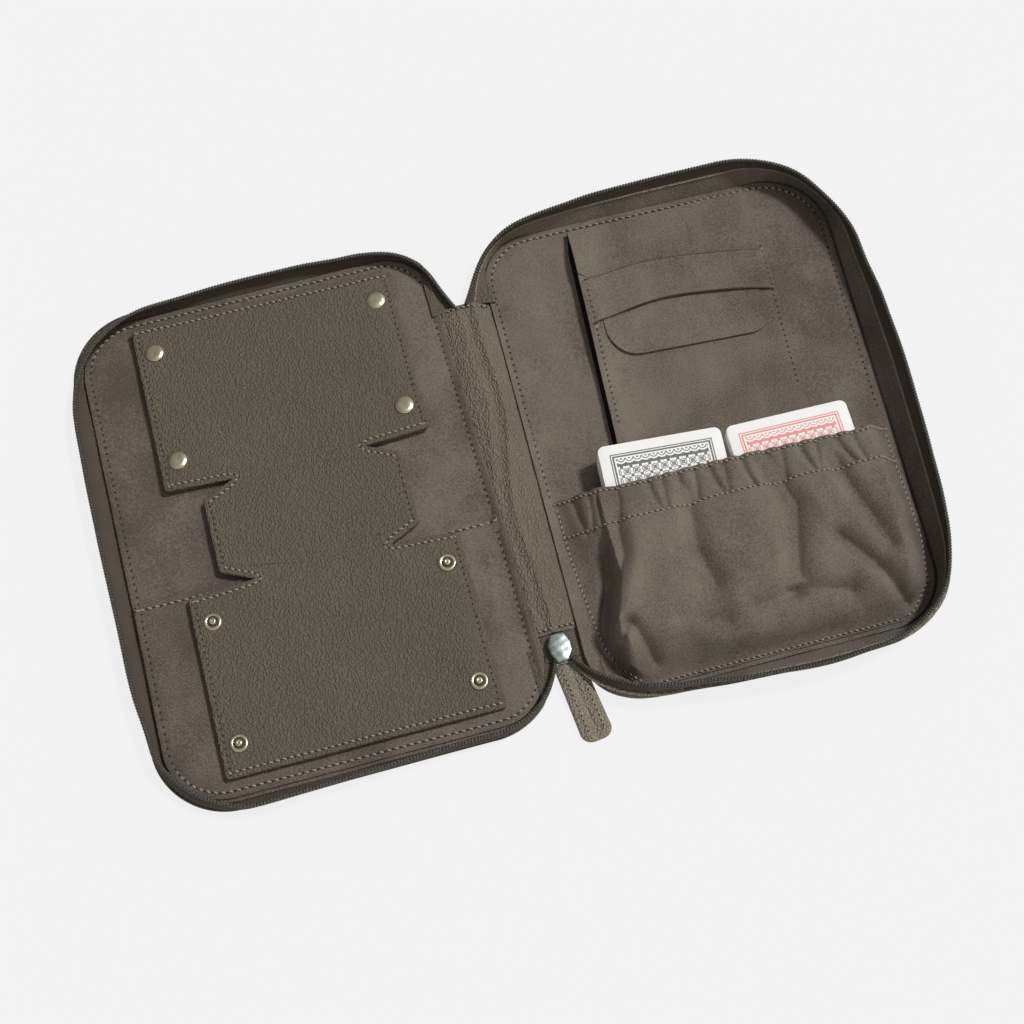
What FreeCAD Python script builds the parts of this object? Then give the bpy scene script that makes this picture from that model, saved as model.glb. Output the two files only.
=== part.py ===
"""Zip-around travel game case, opened flat like a book.

A shallow left half and a deep right half hang on one soft spine. The left half carries a
patch pocket and a flat leather dice cup that snaps together, the right half a tuck-flap
wallet and a gathered pocket with two decks of cards.

Frame: millimetres, +Z up, origin at the middle of the right half's underside.
+X runs across both halves, +Y along the spine.
"""
import FreeCAD, Part
import math
import os

V = FreeCAD.Vector
UP = V(0, 0, 1)

# One standard card sets the scale of the whole case.
card_w = 63.5
card_l = 88.9
card_corner_r = 3.5
deck_t = 16.0
deck_gap = 1.5
deck_clear = 0.2

# Each half is a rounded rectangle whose soft wall leans out towards the zip.
half_w = 186.0
half_l = 266.0
base_r = 34.0
rim_r = 55.0
rim_spread = 5.0
rim_spine_spread = 9.0
left_rim_z = 13.0
right_rim_z = 22.0
zip_gap = 0.2

# Plies of the covers.
leather_t = 1.2
board_t = 1.4
lining_t = 0.8
wall_leather_t = 1.0
gusset_t = 0.8
ply_gap = 0.05
board_clear = 0.5
lining_clear = 0.5

# The creases, where each half folds against the spine.
crease_z = 1.5
crease_gap = 0.1
inner_crease_gap = 1.2
wall_end_gap = 2.2
spine_side_cut = 8.0

# The wall's pieces.
left_edge_z = 4.6
welt_z = 13.0
welt_h = 1.0
welt_proud = 0.3
tape_t = 0.8
tape_inset = 0.4
coil_w = 2.6
coil_h = 2.4
coil_chamfer = 0.7

# Spine: two leather plies sewn to the zip's ends, standing in a low arch.
spine_end_gap = 41.0
spine_gap = 0.8
spine_rise = 3.4
spine_lining_gap = 2.5
spine_ply_t = 1.2
zip_end_l = 19.0
zip_end_under = 7.0
zip_end_w = 15.0
zip_end_tape_t = 0.6
zip_end_slack = 0.4
zip_end_coil_w = 5.2
zip_end_coil_h = 2.0
zip_end_coil_gap = 0.3

# Zip slider with its pull.
slider_l = 14.5
slider_nose_w = 11.0
slider_tail_w = 7.0
slider_plate_t = 1.2
slider_clear = 0.3
slider_overhang = 0.5
flange_t = 1.1
wedge_l = 2.2
wedge_w = 3.4
wedge_clear = 0.5
slider_bevel = 0.5
bridge_h = 2.4
bridge_w = 2.0
bridge_leg = 1.2
bridge_beam = 1.0
bridge_inset = 3.2
link_wire = 0.9
link_w = 7.4
link_side = 1.2
link_l = 11.0
pull_l = 38.0
pull_w = 12.5
pull_neck_w = 10.0
pull_t = 2.2
pull_end_r = 5.6
pull_shoulder_r = 2.0
pull_start = 7.6
pull_hole_clear = 0.15
pull_droop_deg = 2.0

# Wallet in the right half.
wallet_w = 99.0
wallet_x = 2.5
wallet_end_gap = 4.0
wallet_low_gap = 11.0
wallet_back_t = 0.6
wallet_front_t = 0.8
wallet_corner_r = 4.0
flap_w = 84.0
flap_l = 83.0
flap_t = 0.8
flap_clear = 0.05
tongue_r = 17.0
strap_drop = 38.0
strap_l = 24.0
strap_t = 0.8
strap_foot = 5.0

# Gathered pocket over the decks.
pocket_foot_gap = 3.7
pocket_foot_taper = 17.3
pocket_side_room = 8.0
pocket_shoulder_drop = 2.8
pocket_shoulder_r = 5.0
pocket_top_r = 12.0
pocket_t = 1.0
pocket_room = 1.2
pocket_deck_show = 18.0
pocket_knee_room = 5.1
pocket_toe_l = 23.0
pocket_end_gap = 6.0
pocket_seam_h = 1.6
elastic_w = 12.0
elastic_t = 0.6
elastic_inset = 1.2

# Patch pocket in the left half.
patch_side_gap = 5.0
patch_end_gap = 5.0
patch_l = 108.0
patch_r = 28.0
patch_top_r = 2.0
patch_t = 1.2

# Flat dice cup: two panels folded up from a waist, which is the cup's floor.
cup_x = 5.5
cup_y = 3.0
cup_side_gap = 23.7
cup_end_gap = 8.6
cup_notch = 1.8
cup_crease_w = 70.0
cup_waist_l = 56.0
cup_ear_w = 103.0
cup_ear_l = 40.0
cup_fold_gap = 0.15
cup_corner_r = 1.6
cup_backing_t = 1.2
cup_face_t = 1.4

# Snap fasteners.
snap_side_edge = 9.7
snap_near_edge = 15.1
snap_far_edge = 16.1
cap_r = 5.1
cap_h = 1.4
cap_edge_h = 0.5
shank_r = 1.5
shank_hole_clear = 0.1
socket_r = 4.7
socket_h = 1.7
socket_depth = 1.25
socket_bore_r = 2.45
socket_mouth_r = 2.75
post_r = 4.7
post_rim_h = 1.1
post_rim_r = 4.2
post_groove_r = 3.4
post_groove_z = 0.5
stud_neck_r = 1.8
stud_r = 2.1
stud_neck_z = 1.2
stud_wide_z = 1.6
stud_top_r = 1.5
stud_h = 2.1
snap_seat = 0.15
back_r = 4.9
back_t = 0.9
back_edge = 0.4

overrun = 20.0

# Derived places.
board_z = leather_t
lining_z = board_z + board_t
floor_z = lining_z + lining_t
spine_w = left_rim_z + right_rim_z - 2 * crease_z
right_cx = 0
right_crease_x = -half_w / 2
left_crease_x = right_crease_x - spine_w
left_cx = left_crease_x - half_w / 2
spine_cx = (right_crease_x + left_crease_x) / 2
spine_l = half_l - 2 * spine_end_gap
spine_half = spine_w / 2 - spine_gap
spine_z = crease_z - leather_t / 2
tape_end_z = spine_z + spine_rise + leather_t
slider_tail_y = -(spine_l / 2 + slider_overhang)
slider_nose_y = slider_tail_y - slider_l
deck_z = floor_z + wallet_back_t + wallet_front_t + deck_clear
deck_top_z = deck_z + deck_t
decks_w = 2 * card_w + deck_gap
pocket_bottom_y = pocket_end_gap - half_l / 2
pocket_knee_y = pocket_bottom_y + pocket_toe_l
deck_low_y = pocket_knee_y + pocket_knee_room
deck_top_y = deck_low_y + card_l
pocket_mouth_y = deck_top_y - pocket_deck_show
pocket_foot_w = half_w - 2 * pocket_foot_gap
pocket_foot_bottom_w = pocket_foot_w - 2 * pocket_foot_taper
pocket_shoulder_w = decks_w + 2 * pocket_side_room
wallet_top_y = half_l / 2 - wallet_end_gap
wallet_bottom_y = wallet_low_gap - half_l / 2
tongue_y = wallet_top_y - flap_l
strap_top_y = wallet_top_y - strap_drop
strap_bottom_y = strap_top_y - strap_l
patch_w = half_w - 2 * patch_side_gap
patch_bottom_y = patch_end_gap - half_l / 2
patch_top_y = patch_bottom_y + patch_l
wall_z = leather_t
right_wall_top = right_rim_z - coil_h
left_wall_top = left_rim_z - coil_h
cup_panel_w = half_w - 2 * cup_side_gap
cup_panel_l = half_l / 2 - cup_end_gap - cup_waist_l / 2 - cup_notch
snap_x = cup_panel_w - 2 * snap_side_edge
snap_y = cup_panel_l - snap_near_edge - snap_far_edge
snap_panel_y = cup_notch + snap_near_edge + snap_y / 2
cup_cx = left_cx + cup_x
cup_back_z = floor_z + post_rim_h + snap_seat + socket_h
cup_face_z = cup_back_z + cup_backing_t
cup_top_z = cup_face_z + cup_face_t


def arc(start, middle, end):
    """Arc through three points."""
    return Part.Arc(start, middle, end).toShape()


def rounded_wire(corners, radii):
    """Closed wire through corners, each rounded by its radius with a tangent arc."""
    spans = []
    count = len(corners)
    for i in range(count):
        here = corners[i]
        back = (corners[i - 1] - here).normalize()
        ahead = (corners[(i + 1) % count] - here).normalize()
        half = back.getAngle(ahead) / 2
        if radii[i] == 0:
            spans.append((here, None, here))
            continue
        bisector = (back + ahead).normalize()
        reach = radii[i] / math.tan(half)
        middle = here + bisector * (radii[i] / math.sin(half) - radii[i])
        spans.append((here + back * reach, middle, here + ahead * reach))
    edges = []
    for i in range(count):
        start, middle, end = spans[i]
        if middle is not None:
            edges.append(arc(start, middle, end))
        following = spans[(i + 1) % count][0]
        edges.append(Part.makeLine(end, following))
    return Part.Wire(edges)


def prism(wire, direction):
    """Solid swept from a flat wire."""
    return Part.Face(wire).extrude(direction)


def box(low, high):
    """Box between two corners."""
    size = high - low
    return Part.makeBox(size.x, size.y, size.z, low)


def flat_plate(points, radii, z, thickness):
    """Flat plate with an outline in plan."""
    corners = [V(x, y, z) for x, y in points]
    return prism(rounded_wire(corners, radii), UP * thickness)


def rectangle(x_low, y_low, x_high, y_high):
    """Corners of a plan rectangle, anticlockwise."""
    return [(x_low, y_low), (x_high, y_low), (x_high, y_high), (x_low, y_high)]


def rim_wire(cx, side, share, inset, z):
    """Outline of a half at height z: share runs from 0 at the base to 1 at the zip.

    side is +1 where the spine is on the -X side of the half and -1 where it is on the +X side.
    """
    spine_x = cx - side * (half_w / 2 + rim_spine_spread * share - inset)
    free_x = cx + side * (half_w / 2 + rim_spread * share - inset)
    y = half_l / 2 + rim_spread * share - inset
    radius = base_r + (rim_r - base_r) * share - inset
    low_x, high_x = sorted((spine_x, free_x))
    corners = [V(px, py, z) for px, py in rectangle(low_x, -y, high_x, y)]
    return rounded_wire(corners, [radius] * len(corners))


def plate(cx, side, inset, z, thickness, spine_inset):
    """Base ply of a half, cut back from the crease by spine_inset."""
    solid = prism(rim_wire(cx, side, 0, inset, z), UP * thickness)
    crease = cx - side * half_w / 2
    near = crease - side * overrun
    far = crease + side * spine_inset
    low_x, high_x = sorted((near, far))
    cutter = box(V(low_x, -half_l, z - overrun), V(high_x, half_l, z + overrun))
    return solid.cut(cutter)


def wall(cx, side, levels, thickness):
    """Wall ply round a half, open along the spine.

    levels are (share, inset, z) from bottom to top, and the ply grows inwards.
    """
    outer = [rim_wire(cx, side, share, inset, z) for share, inset, z in levels]
    inner = [rim_wire(cx, side, share, inset + thickness, z) for share, inset, z in levels]
    solid = Part.makeLoft(outer, True, True).cut(Part.makeLoft(inner, True, True))
    return open_spine_side(solid, cx, side)


def open_spine_side(solid, cx, side):
    """Cut the spine side out of a ring, leaving the two corners next to the spine."""
    crease = cx - side * half_w / 2
    outside = crease - side * overrun
    low_x, high_x = sorted((outside, crease + side * wall_end_gap))
    solid = solid.cut(box(V(low_x, -half_l, -overrun), V(high_x, half_l, half_l)))
    low_x, high_x = sorted((outside, crease + side * spine_side_cut))
    end_y = half_l / 2 - base_r
    return solid.cut(box(V(low_x, -end_y, -overrun), V(high_x, end_y, half_l)))


def right_share(z):
    """How far up the right wall a height is."""
    return (z - wall_z) / (right_wall_top - wall_z)


def left_share(z):
    """How far up the left wall a height is."""
    return (z - wall_z) / (left_wall_top - wall_z)


def zip_coil(cx, side, z, height):
    """Row of zip coil on the edge of its tape, with bevelled corners."""
    shallow = coil_chamfer
    outer = []
    inner = []
    for inset, level in ((shallow, z), (0, z + shallow), (0, z + height - shallow), (shallow, z + height)):
        outer.append(rim_wire(cx, side, 1, inset - coil_w / 2, level))
        inner.append(rim_wire(cx, side, 1, coil_w / 2 - inset, level))
    solid = Part.makeLoft(outer, True, True).cut(Part.makeLoft(inner, True, True))
    return open_spine_side(solid, cx, side)


def arch_band(half_span, z, rise, thickness, length):
    """Leather strip along the spine, bowed upwards by rise."""
    low = [V(spine_cx - half_span, -length / 2, z), V(spine_cx, -length / 2, z + rise),
           V(spine_cx + half_span, -length / 2, z)]
    high = [point + UP * thickness for point in low]
    edges = [arc(*low), Part.makeLine(low[2], high[2]), arc(*high[::-1]), Part.makeLine(high[0], low[0])]
    return prism(Part.Wire(edges), V(0, length, 0))


def spine_top_z(x):
    """Height of the spine cover's upper face at a distance x from its ridge."""
    radius = (spine_half ** 2 + spine_rise ** 2) / (2 * spine_rise)
    return tape_end_z - radius + math.sqrt(radius ** 2 - x ** 2)


def zip_end_tape(low_y, high_y):
    """End of the zip tape, bowed over the spine cover."""
    half = zip_end_w / 2
    low = [V(spine_cx + x, low_y, spine_top_z(x)) for x in (-half, 0, half)]
    high = [point + UP * zip_end_tape_t for point in low]
    edges = [arc(*low), Part.makeLine(low[2], high[2]), arc(*high[::-1]), Part.makeLine(high[0], low[0])]
    return prism(Part.Wire(edges), V(0, high_y - low_y, 0))


def revolved(points, curves):
    """Solid of revolution about Z from a half profile of (radius, height) points.

    curves gives the middle point of each span that is an arc, by the span's index.
    """
    edges = []
    for i in range(len(points)):
        start = V(points[i][0], 0, points[i][1])
        end_point = points[(i + 1) % len(points)]
        end = V(end_point[0], 0, end_point[1])
        if i in curves:
            edges.append(arc(start, V(curves[i][0], 0, curves[i][1]), end))
        else:
            edges.append(Part.makeLine(start, end))
    solid = Part.Face(Part.Wire(edges)).revolve(V(0, 0, 0), UP, 360)
    return Part.Solid(solid.Shells[0])


def at_each(solid, places):
    """Copies of one solid at every place, as one group of separate solids."""
    copies = []
    for place in places:
        copy = solid.copy()
        copy.translate(place)
        copies.append(copy)
    return Part.makeCompound(copies)


def snap_places(panel_sign, z):
    """The four snap centres on the upper (+1) or lower (-1) panel of the cup."""
    middle = cup_y + panel_sign * (cup_waist_l / 2 + snap_panel_y)
    places = []
    for x_sign in (-1, 1):
        for y_sign in (-1, 1):
            places.append(V(cup_cx + x_sign * snap_x / 2, middle + y_sign * snap_y / 2, z))
    return places


def snap_cap():
    """Domed cap whose shank is riveted through the leather into the socket."""
    dome = cap_h - cap_edge_h
    sphere_r = (cap_r ** 2 + dome ** 2) / (2 * dome)
    mid_z = cap_h - sphere_r + math.sqrt(sphere_r ** 2 - (cap_r / 2) ** 2)
    shank_l = cup_face_t + cup_backing_t + socket_h - socket_depth
    points = [(0, -shank_l), (shank_r, -shank_l), (shank_r, 0), (cap_r, 0), (cap_r, cap_edge_h), (0, cap_h)]
    return revolved(points, {4: (cap_r / 2, mid_z)})


def snap_socket():
    """Ring under the panel that presses over a post."""
    shoulder = socket_h - socket_depth
    bore = shank_r + shank_hole_clear
    mouth = socket_mouth_r - socket_bore_r
    points = [(bore, 0), (bore, -shoulder), (socket_bore_r, -shoulder),
              (socket_bore_r, mouth - socket_h), (socket_mouth_r, -socket_h),
              (socket_r, -socket_h), (socket_r, 0)]
    return revolved(points, {})


def snap_post():
    """Ringed flange with a bulbed stud that a socket presses onto."""
    points = [(0, 0), (post_r, 0), (post_r, post_groove_z), (post_rim_r, post_rim_h),
              (post_groove_r, post_rim_h), (post_groove_r, post_groove_z), (stud_neck_r, post_groove_z),
              (stud_neck_r, stud_neck_z), (stud_r, stud_wide_z), (stud_top_r, stud_h), (0, stud_h)]
    return revolved(points, {})


def lining_post():
    """Plain stud on the lining that a socket of the stowed cup presses onto."""
    points = [(0, 0), (post_r, 0), (post_r, post_rim_h), (stud_r, post_rim_h),
              (stud_r, stud_h), (0, stud_h)]
    return revolved(points, {})


def snap_back():
    """Plain cap under the lower panel whose shank holds the post from behind."""
    grip = cup_face_t + cup_backing_t
    points = [(0, -back_t), (back_r - back_edge, -back_t), (back_r, -back_edge), (back_r, 0),
              (shank_r, 0), (shank_r, grip), (0, grip)]
    return revolved(points, {})


def pierced(solid, places, radius):
    """Panel with a hole for a shank at every place."""
    for place in places:
        low = V(place.x, place.y, place.z - overrun)
        solid = solid.cut(Part.makeCylinder(radius, 2 * overrun, low, UP))
    return solid


def cup_panel(sign, z, thickness):
    """Upper or lower wrap of the dice cup, from its crease to its far edge."""
    near = cup_waist_l / 2 + cup_fold_gap
    notch = cup_waist_l / 2 + cup_notch
    far = notch + cup_panel_l
    half = cup_panel_w / 2
    fold = cup_crease_w / 2
    outline = [(-fold, near), (fold, near), (half, notch), (half, far), (-half, far), (-half, notch)]
    points = [(cup_cx + x, cup_y + sign * y) for x, y in outline]
    round_r = cup_corner_r
    solid = flat_plate(points, [0, 0, round_r, round_r, round_r, round_r], z, thickness)
    return pierced(solid, snap_places(sign, z), shank_r + shank_hole_clear)


def cup_waist(z, thickness):
    """Floor of the dice cup, with an ear at each side that tucks up inside."""
    fold = cup_crease_w / 2
    near = cup_waist_l / 2 - cup_fold_gap
    ear_x = cup_ear_w / 2
    ear_y = cup_ear_l / 2
    outline = [(-fold, -near), (fold, -near), (ear_x, -ear_y), (ear_x, ear_y),
               (fold, near), (-fold, near), (-ear_x, ear_y), (-ear_x, -ear_y)]
    points = [(cup_cx + x, cup_y + y) for x, y in outline]
    round_r = cup_corner_r
    return flat_plate(points, [0, 0, round_r, round_r, 0, 0, round_r, round_r], z, thickness)


def pocket_section(y, foot_w, share, inset, floor):
    """Profile of the gathered pocket across X at one y.

    share scales its height from a closed seam to the full height over the decks.
    """
    full = deck_top_z + pocket_room + pocket_t - floor_z
    height = pocket_seam_h + (full - pocket_seam_h) * share
    drop = pocket_shoulder_drop * height / full
    narrow = foot_w / pocket_foot_w
    foot = foot_w / 2 - inset * math.sqrt(2)
    shoulder = pocket_shoulder_w * narrow / 2 - inset / 2
    top = decks_w * narrow / 2
    crown = floor_z + height - inset
    points = [(-foot, floor), (foot, floor), (shoulder, crown - drop), (top, crown),
              (-top, crown), (-shoulder, crown - drop)]
    corners = [V(x, y, z) for x, z in points]
    side = pocket_shoulder_r * height / full
    crest = pocket_top_r * height / full
    return rounded_wire(corners, [0, 0, side, crest, crest, side])


def pocket_solid(inset, mouth_y, bottom_y, floor):
    """Solid bulk of the gathered pocket, drawn in by inset."""
    sections = [pocket_section(mouth_y, pocket_foot_w, 1, inset, floor),
                pocket_section(pocket_knee_y, pocket_foot_w, 1, inset, floor),
                pocket_section(bottom_y, pocket_foot_bottom_w, 0, inset, floor)]
    return Part.makeLoft(sections, True, True)


def slider_outline(grow):
    """Plan of the zip slider: broad at the nose, where the two coils part, and narrow at the tail."""
    tail_y = slider_tail_y + grow
    nose_y = slider_nose_y - grow
    tail = slider_tail_w / 2 + grow
    nose = slider_nose_w / 2 + grow
    waist_y = (tail_y + nose_y) / 2
    left = [(-tail, tail_y), (-nose, waist_y), (-tail, nose_y)]
    right = [(tail, nose_y), (nose, waist_y), (tail, tail_y)]
    return left + right


def slider_plate(z_wide, z_narrow):
    """One plate of the slider, bevelled towards its outer face."""
    wires = []
    for z, grow in ((z_wide, 0), (z_narrow, -slider_bevel)):
        corners = [V(spine_cx + x, y, z) for x, y in slider_outline(grow)]
        wires.append(rounded_wire(corners, [0] * len(corners)))
    return Part.makeLoft(wires, True, True)


parts = {}

# Right half: covers and wall
right_levels = [(0, 0, wall_z), (right_share(welt_z), 0, welt_z)]
right_base = plate(right_cx, 1, 0, 0, leather_t, crease_gap)
parts["right_cover"] = right_base.fuse(wall(right_cx, 1, right_levels, wall_leather_t)).removeSplitter()
board_inset = wall_leather_t + board_clear
lining_inset = wall_leather_t + ply_gap + gusset_t + lining_clear
parts["right_board"] = plate(right_cx, 1, board_inset, board_z, board_t, inner_crease_gap)
parts["right_lining"] = plate(right_cx, 1, lining_inset, lining_z, lining_t, inner_crease_gap)
gusset_inset = wall_leather_t + ply_gap
gusset_levels = [(right_share(lining_z), gusset_inset, lining_z),
                 (right_share(welt_z), gusset_inset, welt_z)]
parts["right_gusset"] = wall(right_cx, 1, gusset_levels, gusset_t)
welt_top = welt_z + welt_h
welt_levels = [(right_share(welt_z), -welt_proud, welt_z), (right_share(welt_top), -welt_proud, welt_top)]
welt_w = wall_leather_t + gusset_t + 2 * welt_proud
parts["right_welt"] = wall(right_cx, 1, welt_levels, welt_w)
tape_levels = [(right_share(welt_top), tape_inset, welt_top), (1, tape_inset, right_wall_top)]
parts["right_zip_tape"] = wall(right_cx, 1, tape_levels, tape_t)
parts["right_zip_coil"] = zip_coil(right_cx, 1, right_wall_top, coil_h - zip_gap)

# Left half: covers and wall
left_levels = [(0, 0, wall_z), (left_share(left_edge_z), 0, left_edge_z)]
left_base = plate(left_cx, -1, 0, 0, leather_t, crease_gap)
parts["left_cover"] = left_base.fuse(wall(left_cx, -1, left_levels, wall_leather_t)).removeSplitter()
parts["left_board"] = plate(left_cx, -1, board_inset, board_z, board_t, inner_crease_gap)
parts["left_lining"] = plate(left_cx, -1, lining_inset, lining_z, lining_t, inner_crease_gap)
left_tape_levels = [(left_share(lining_z), gusset_inset, lining_z),
                    (left_share(left_edge_z), gusset_inset, left_edge_z), (1, tape_inset, left_wall_top)]
parts["left_zip_tape"] = wall(left_cx, -1, left_tape_levels, tape_t)
parts["left_zip_coil"] = zip_coil(left_cx, -1, left_wall_top, coil_h - zip_gap)
patch = rectangle(left_cx - patch_w / 2, patch_bottom_y, left_cx + patch_w / 2, patch_top_y)
patch_radii = [patch_r, patch_r, patch_top_r, patch_top_r]
parts["left_patch_pocket"] = flat_plate(patch, patch_radii, floor_z, patch_t)
parts["lining_snap_posts"] = at_each(lining_post(), snap_places(1, floor_z))

# Spine
parts["spine_cover"] = arch_band(spine_half, spine_z, spine_rise, leather_t, spine_l)
spine_lining_half = spine_w / 2 - spine_lining_gap
spine_lining_z = spine_z + leather_t + zip_end_tape_t + zip_end_slack
parts["spine_lining"] = arch_band(spine_lining_half, spine_lining_z, spine_rise, spine_ply_t, spine_l)
end_tapes = []
end_coils = []
for end_sign in (-1, 1):
    inner_y = end_sign * (spine_l / 2 - zip_end_under)
    outer_y = inner_y + end_sign * zip_end_l
    edge_y = end_sign * (spine_l / 2 + zip_end_coil_gap)
    low_y, high_y = sorted((inner_y, outer_y))
    end_tapes.append(zip_end_tape(low_y, high_y))
    low_y, high_y = sorted((edge_y, outer_y))
    coil_z = tape_end_z + zip_end_tape_t
    end_coils.append(box(V(spine_cx - zip_end_coil_w / 2, low_y, coil_z),
                         V(spine_cx + zip_end_coil_w / 2, high_y, coil_z + zip_end_coil_h)))
parts["zip_end_tapes"] = Part.makeCompound(end_tapes)
parts["zip_end_coils"] = Part.makeCompound(end_coils)

# Wallet
wallet_low = wallet_x - wallet_w / 2
wallet_high = wallet_x + wallet_w / 2
wallet_plan = rectangle(wallet_low, wallet_bottom_y, wallet_high, wallet_top_y)
wallet_radii = [wallet_corner_r, wallet_corner_r, 0, 0]
wallet_front_z = floor_z + wallet_back_t
flap_z = wallet_front_z + wallet_front_t + flap_clear
parts["wallet_back"] = flat_plate(wallet_plan, wallet_radii, floor_z, wallet_back_t)
parts["wallet_front"] = flat_plate(wallet_plan, wallet_radii, wallet_front_z, wallet_front_t)
flap_low = wallet_x - flap_w / 2
flap_high = wallet_x + flap_w / 2
flap_plan = [(flap_low, tongue_y), (flap_high, tongue_y), (flap_high, strap_top_y),
             (wallet_high, wallet_top_y), (wallet_low, wallet_top_y), (flap_low, strap_top_y)]
parts["wallet_flap"] = flat_plate(flap_plan, [tongue_r, tongue_r, 0, 0, 0, 0], flap_z, flap_t)
strap_low_z = flap_z - flap_clear
strap_high_z = flap_z + flap_t + flap_clear
foot_low = wallet_low + strap_foot
foot_high = wallet_high - strap_foot
strap_under = [(wallet_low, strap_low_z), (foot_low, strap_low_z), (foot_low + strap_t, strap_high_z),
               (foot_high - strap_t, strap_high_z), (foot_high, strap_low_z), (wallet_high, strap_low_z)]
strap_over = [(wallet_high, strap_low_z + strap_t), (foot_high + strap_t, strap_low_z + strap_t),
              (foot_high - strap_t, strap_high_z + strap_t), (foot_low + strap_t, strap_high_z + strap_t),
              (foot_low - strap_t, strap_low_z + strap_t), (wallet_low, strap_low_z + strap_t)]
strap_corners = [V(x, strap_bottom_y, z) for x, z in strap_under + strap_over]
strap_wire = rounded_wire(strap_corners, [0] * len(strap_corners))
parts["wallet_strap"] = prism(strap_wire, V(0, strap_top_y - strap_bottom_y, 0))

# Gathered pocket, its elastic and the two decks
pocket_outer = pocket_solid(0, pocket_mouth_y, pocket_bottom_y, floor_z)
hollow_y = pocket_bottom_y + pocket_t
hollow_z = floor_z - pocket_t
pocket_inner = pocket_solid(pocket_t, pocket_mouth_y + overrun, hollow_y, hollow_z)
parts["gathered_pocket"] = pocket_outer.cut(pocket_inner)
band_top = pocket_mouth_y - elastic_inset
band_bottom = band_top - elastic_w
band_inset = pocket_t + ply_gap
band_bulk = pocket_solid(band_inset, pocket_mouth_y, hollow_y, hollow_z)
band_hollow = pocket_solid(band_inset + elastic_t, pocket_mouth_y + overrun, hollow_y, hollow_z)
band_slice = box(V(-half_w, band_bottom, floor_z), V(half_w, band_top, half_l))
parts["pocket_elastic"] = band_bulk.cut(band_hollow).common(band_slice)
for deck_name, deck_sign in (("deck_black", -1), ("deck_red", 1)):
    near_x = deck_sign * deck_gap / 2
    far_x = near_x + deck_sign * card_w
    low_x, high_x = sorted((near_x, far_x))
    card = rectangle(low_x, deck_low_y, high_x, deck_top_y)
    parts[deck_name] = flat_plate(card, [card_corner_r] * len(card), deck_z, deck_t)

# Dice cup and its snaps
for panel_name, panel_sign in (("upper", 1), ("lower", -1)):
    parts["cup_" + panel_name + "_backing"] = cup_panel(panel_sign, cup_back_z, cup_backing_t)
    parts["cup_" + panel_name + "_face"] = cup_panel(panel_sign, cup_face_z, cup_face_t)
parts["cup_waist_backing"] = cup_waist(cup_back_z, cup_backing_t)
parts["cup_waist_face"] = cup_waist(cup_face_z, cup_face_t)
parts["snap_caps"] = at_each(snap_cap(), snap_places(1, cup_top_z))
parts["snap_sockets"] = at_each(snap_socket(), snap_places(1, cup_back_z))
parts["snap_posts"] = at_each(snap_post(), snap_places(-1, cup_top_z))
parts["snap_post_backs"] = at_each(snap_back(), snap_places(-1, cup_back_z))

# Zip slider: two plates joined by a wedge, with flanges that hold the coils
plate_low = spine_top_z(slider_nose_w / 2) - slider_clear
plate_high = tape_end_z + zip_end_tape_t + zip_end_coil_h + slider_clear
wedge_y = -(spine_l / 2 - zip_end_under + zip_end_l) - wedge_clear
slider = slider_plate(plate_low, plate_low - slider_plate_t)
slider = slider.fuse(slider_plate(plate_high, plate_high + slider_plate_t))
slider = slider.fuse(box(V(spine_cx - wedge_w / 2, wedge_y - wedge_l, plate_low),
                         V(spine_cx + wedge_w / 2, wedge_y, plate_high)))
flange_bottom = tape_end_z + zip_end_tape_t + slider_clear
flange_x = zip_end_coil_w / 2 + slider_clear
flange_y = (slider_tail_y + slider_nose_y) / 2
for flange_sign in (-1, 1):
    near_x = spine_cx + flange_sign * flange_x
    low_x, high_x = sorted((near_x, near_x + flange_sign * flange_t))
    slider = slider.fuse(box(V(low_x, flange_y - slider_l / 4, flange_bottom),
                             V(high_x, flange_y + slider_l / 4, plate_high)))
parts["slider_body"] = slider.removeSplitter()

# Bridge under the slider, on the outside of the case, which carries the pull's link
bridge_top = plate_low - slider_plate_t
bridge_low = bridge_top - bridge_h
bridge_tail = slider_tail_y - bridge_inset
bridge_nose = slider_nose_y + bridge_inset
bridge = box(V(spine_cx - bridge_w / 2, bridge_nose, bridge_low),
             V(spine_cx + bridge_w / 2, bridge_tail, bridge_top))
bridge_eye = box(V(spine_cx - bridge_w, bridge_nose + bridge_leg, bridge_low + bridge_beam),
                 V(spine_cx + bridge_w, bridge_tail - bridge_leg, bridge_top))
parts["slider_bridge"] = bridge.cut(bridge_eye)

# Pull: a wire link through the bridge and a sewn leather tab
pull_axis_z = (bridge_low + bridge_beam + bridge_top) / 2
pull_axis_y = bridge_nose + bridge_leg + link_wire
link_low = -link_wire / 2
link_outer = rectangle(-link_w / 2, -link_l, link_w / 2, link_wire / 2)
link_inner = rectangle(link_side - link_w / 2, link_side - link_l, link_w / 2 - link_side, -link_wire / 2)
link_corner = [link_wire] * len(link_outer)
link = flat_plate(link_outer, link_corner, link_low, link_wire)
link = link.cut(flat_plate(link_inner, [0] * len(link_inner), link_low, link_wire))
neck = pull_neck_w / 2
wide = pull_w / 2
tab_end = -pull_start - pull_l
tab_plan = [(-wide, tab_end), (wide, tab_end), (neck, -pull_start), (-neck, -pull_start)]
tab_radii = [pull_end_r, pull_end_r, pull_shoulder_r, pull_shoulder_r]
tab = flat_plate(tab_plan, tab_radii, -pull_t / 2, pull_t)
grow = pull_hole_clear
slot = rectangle(-link_w / 2 - grow, -link_l - grow, link_w / 2 + grow, -pull_start + overrun)
tab = tab.cut(flat_plate(slot, [0] * len(slot), link_low - grow, link_wire + 2 * grow))
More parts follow.
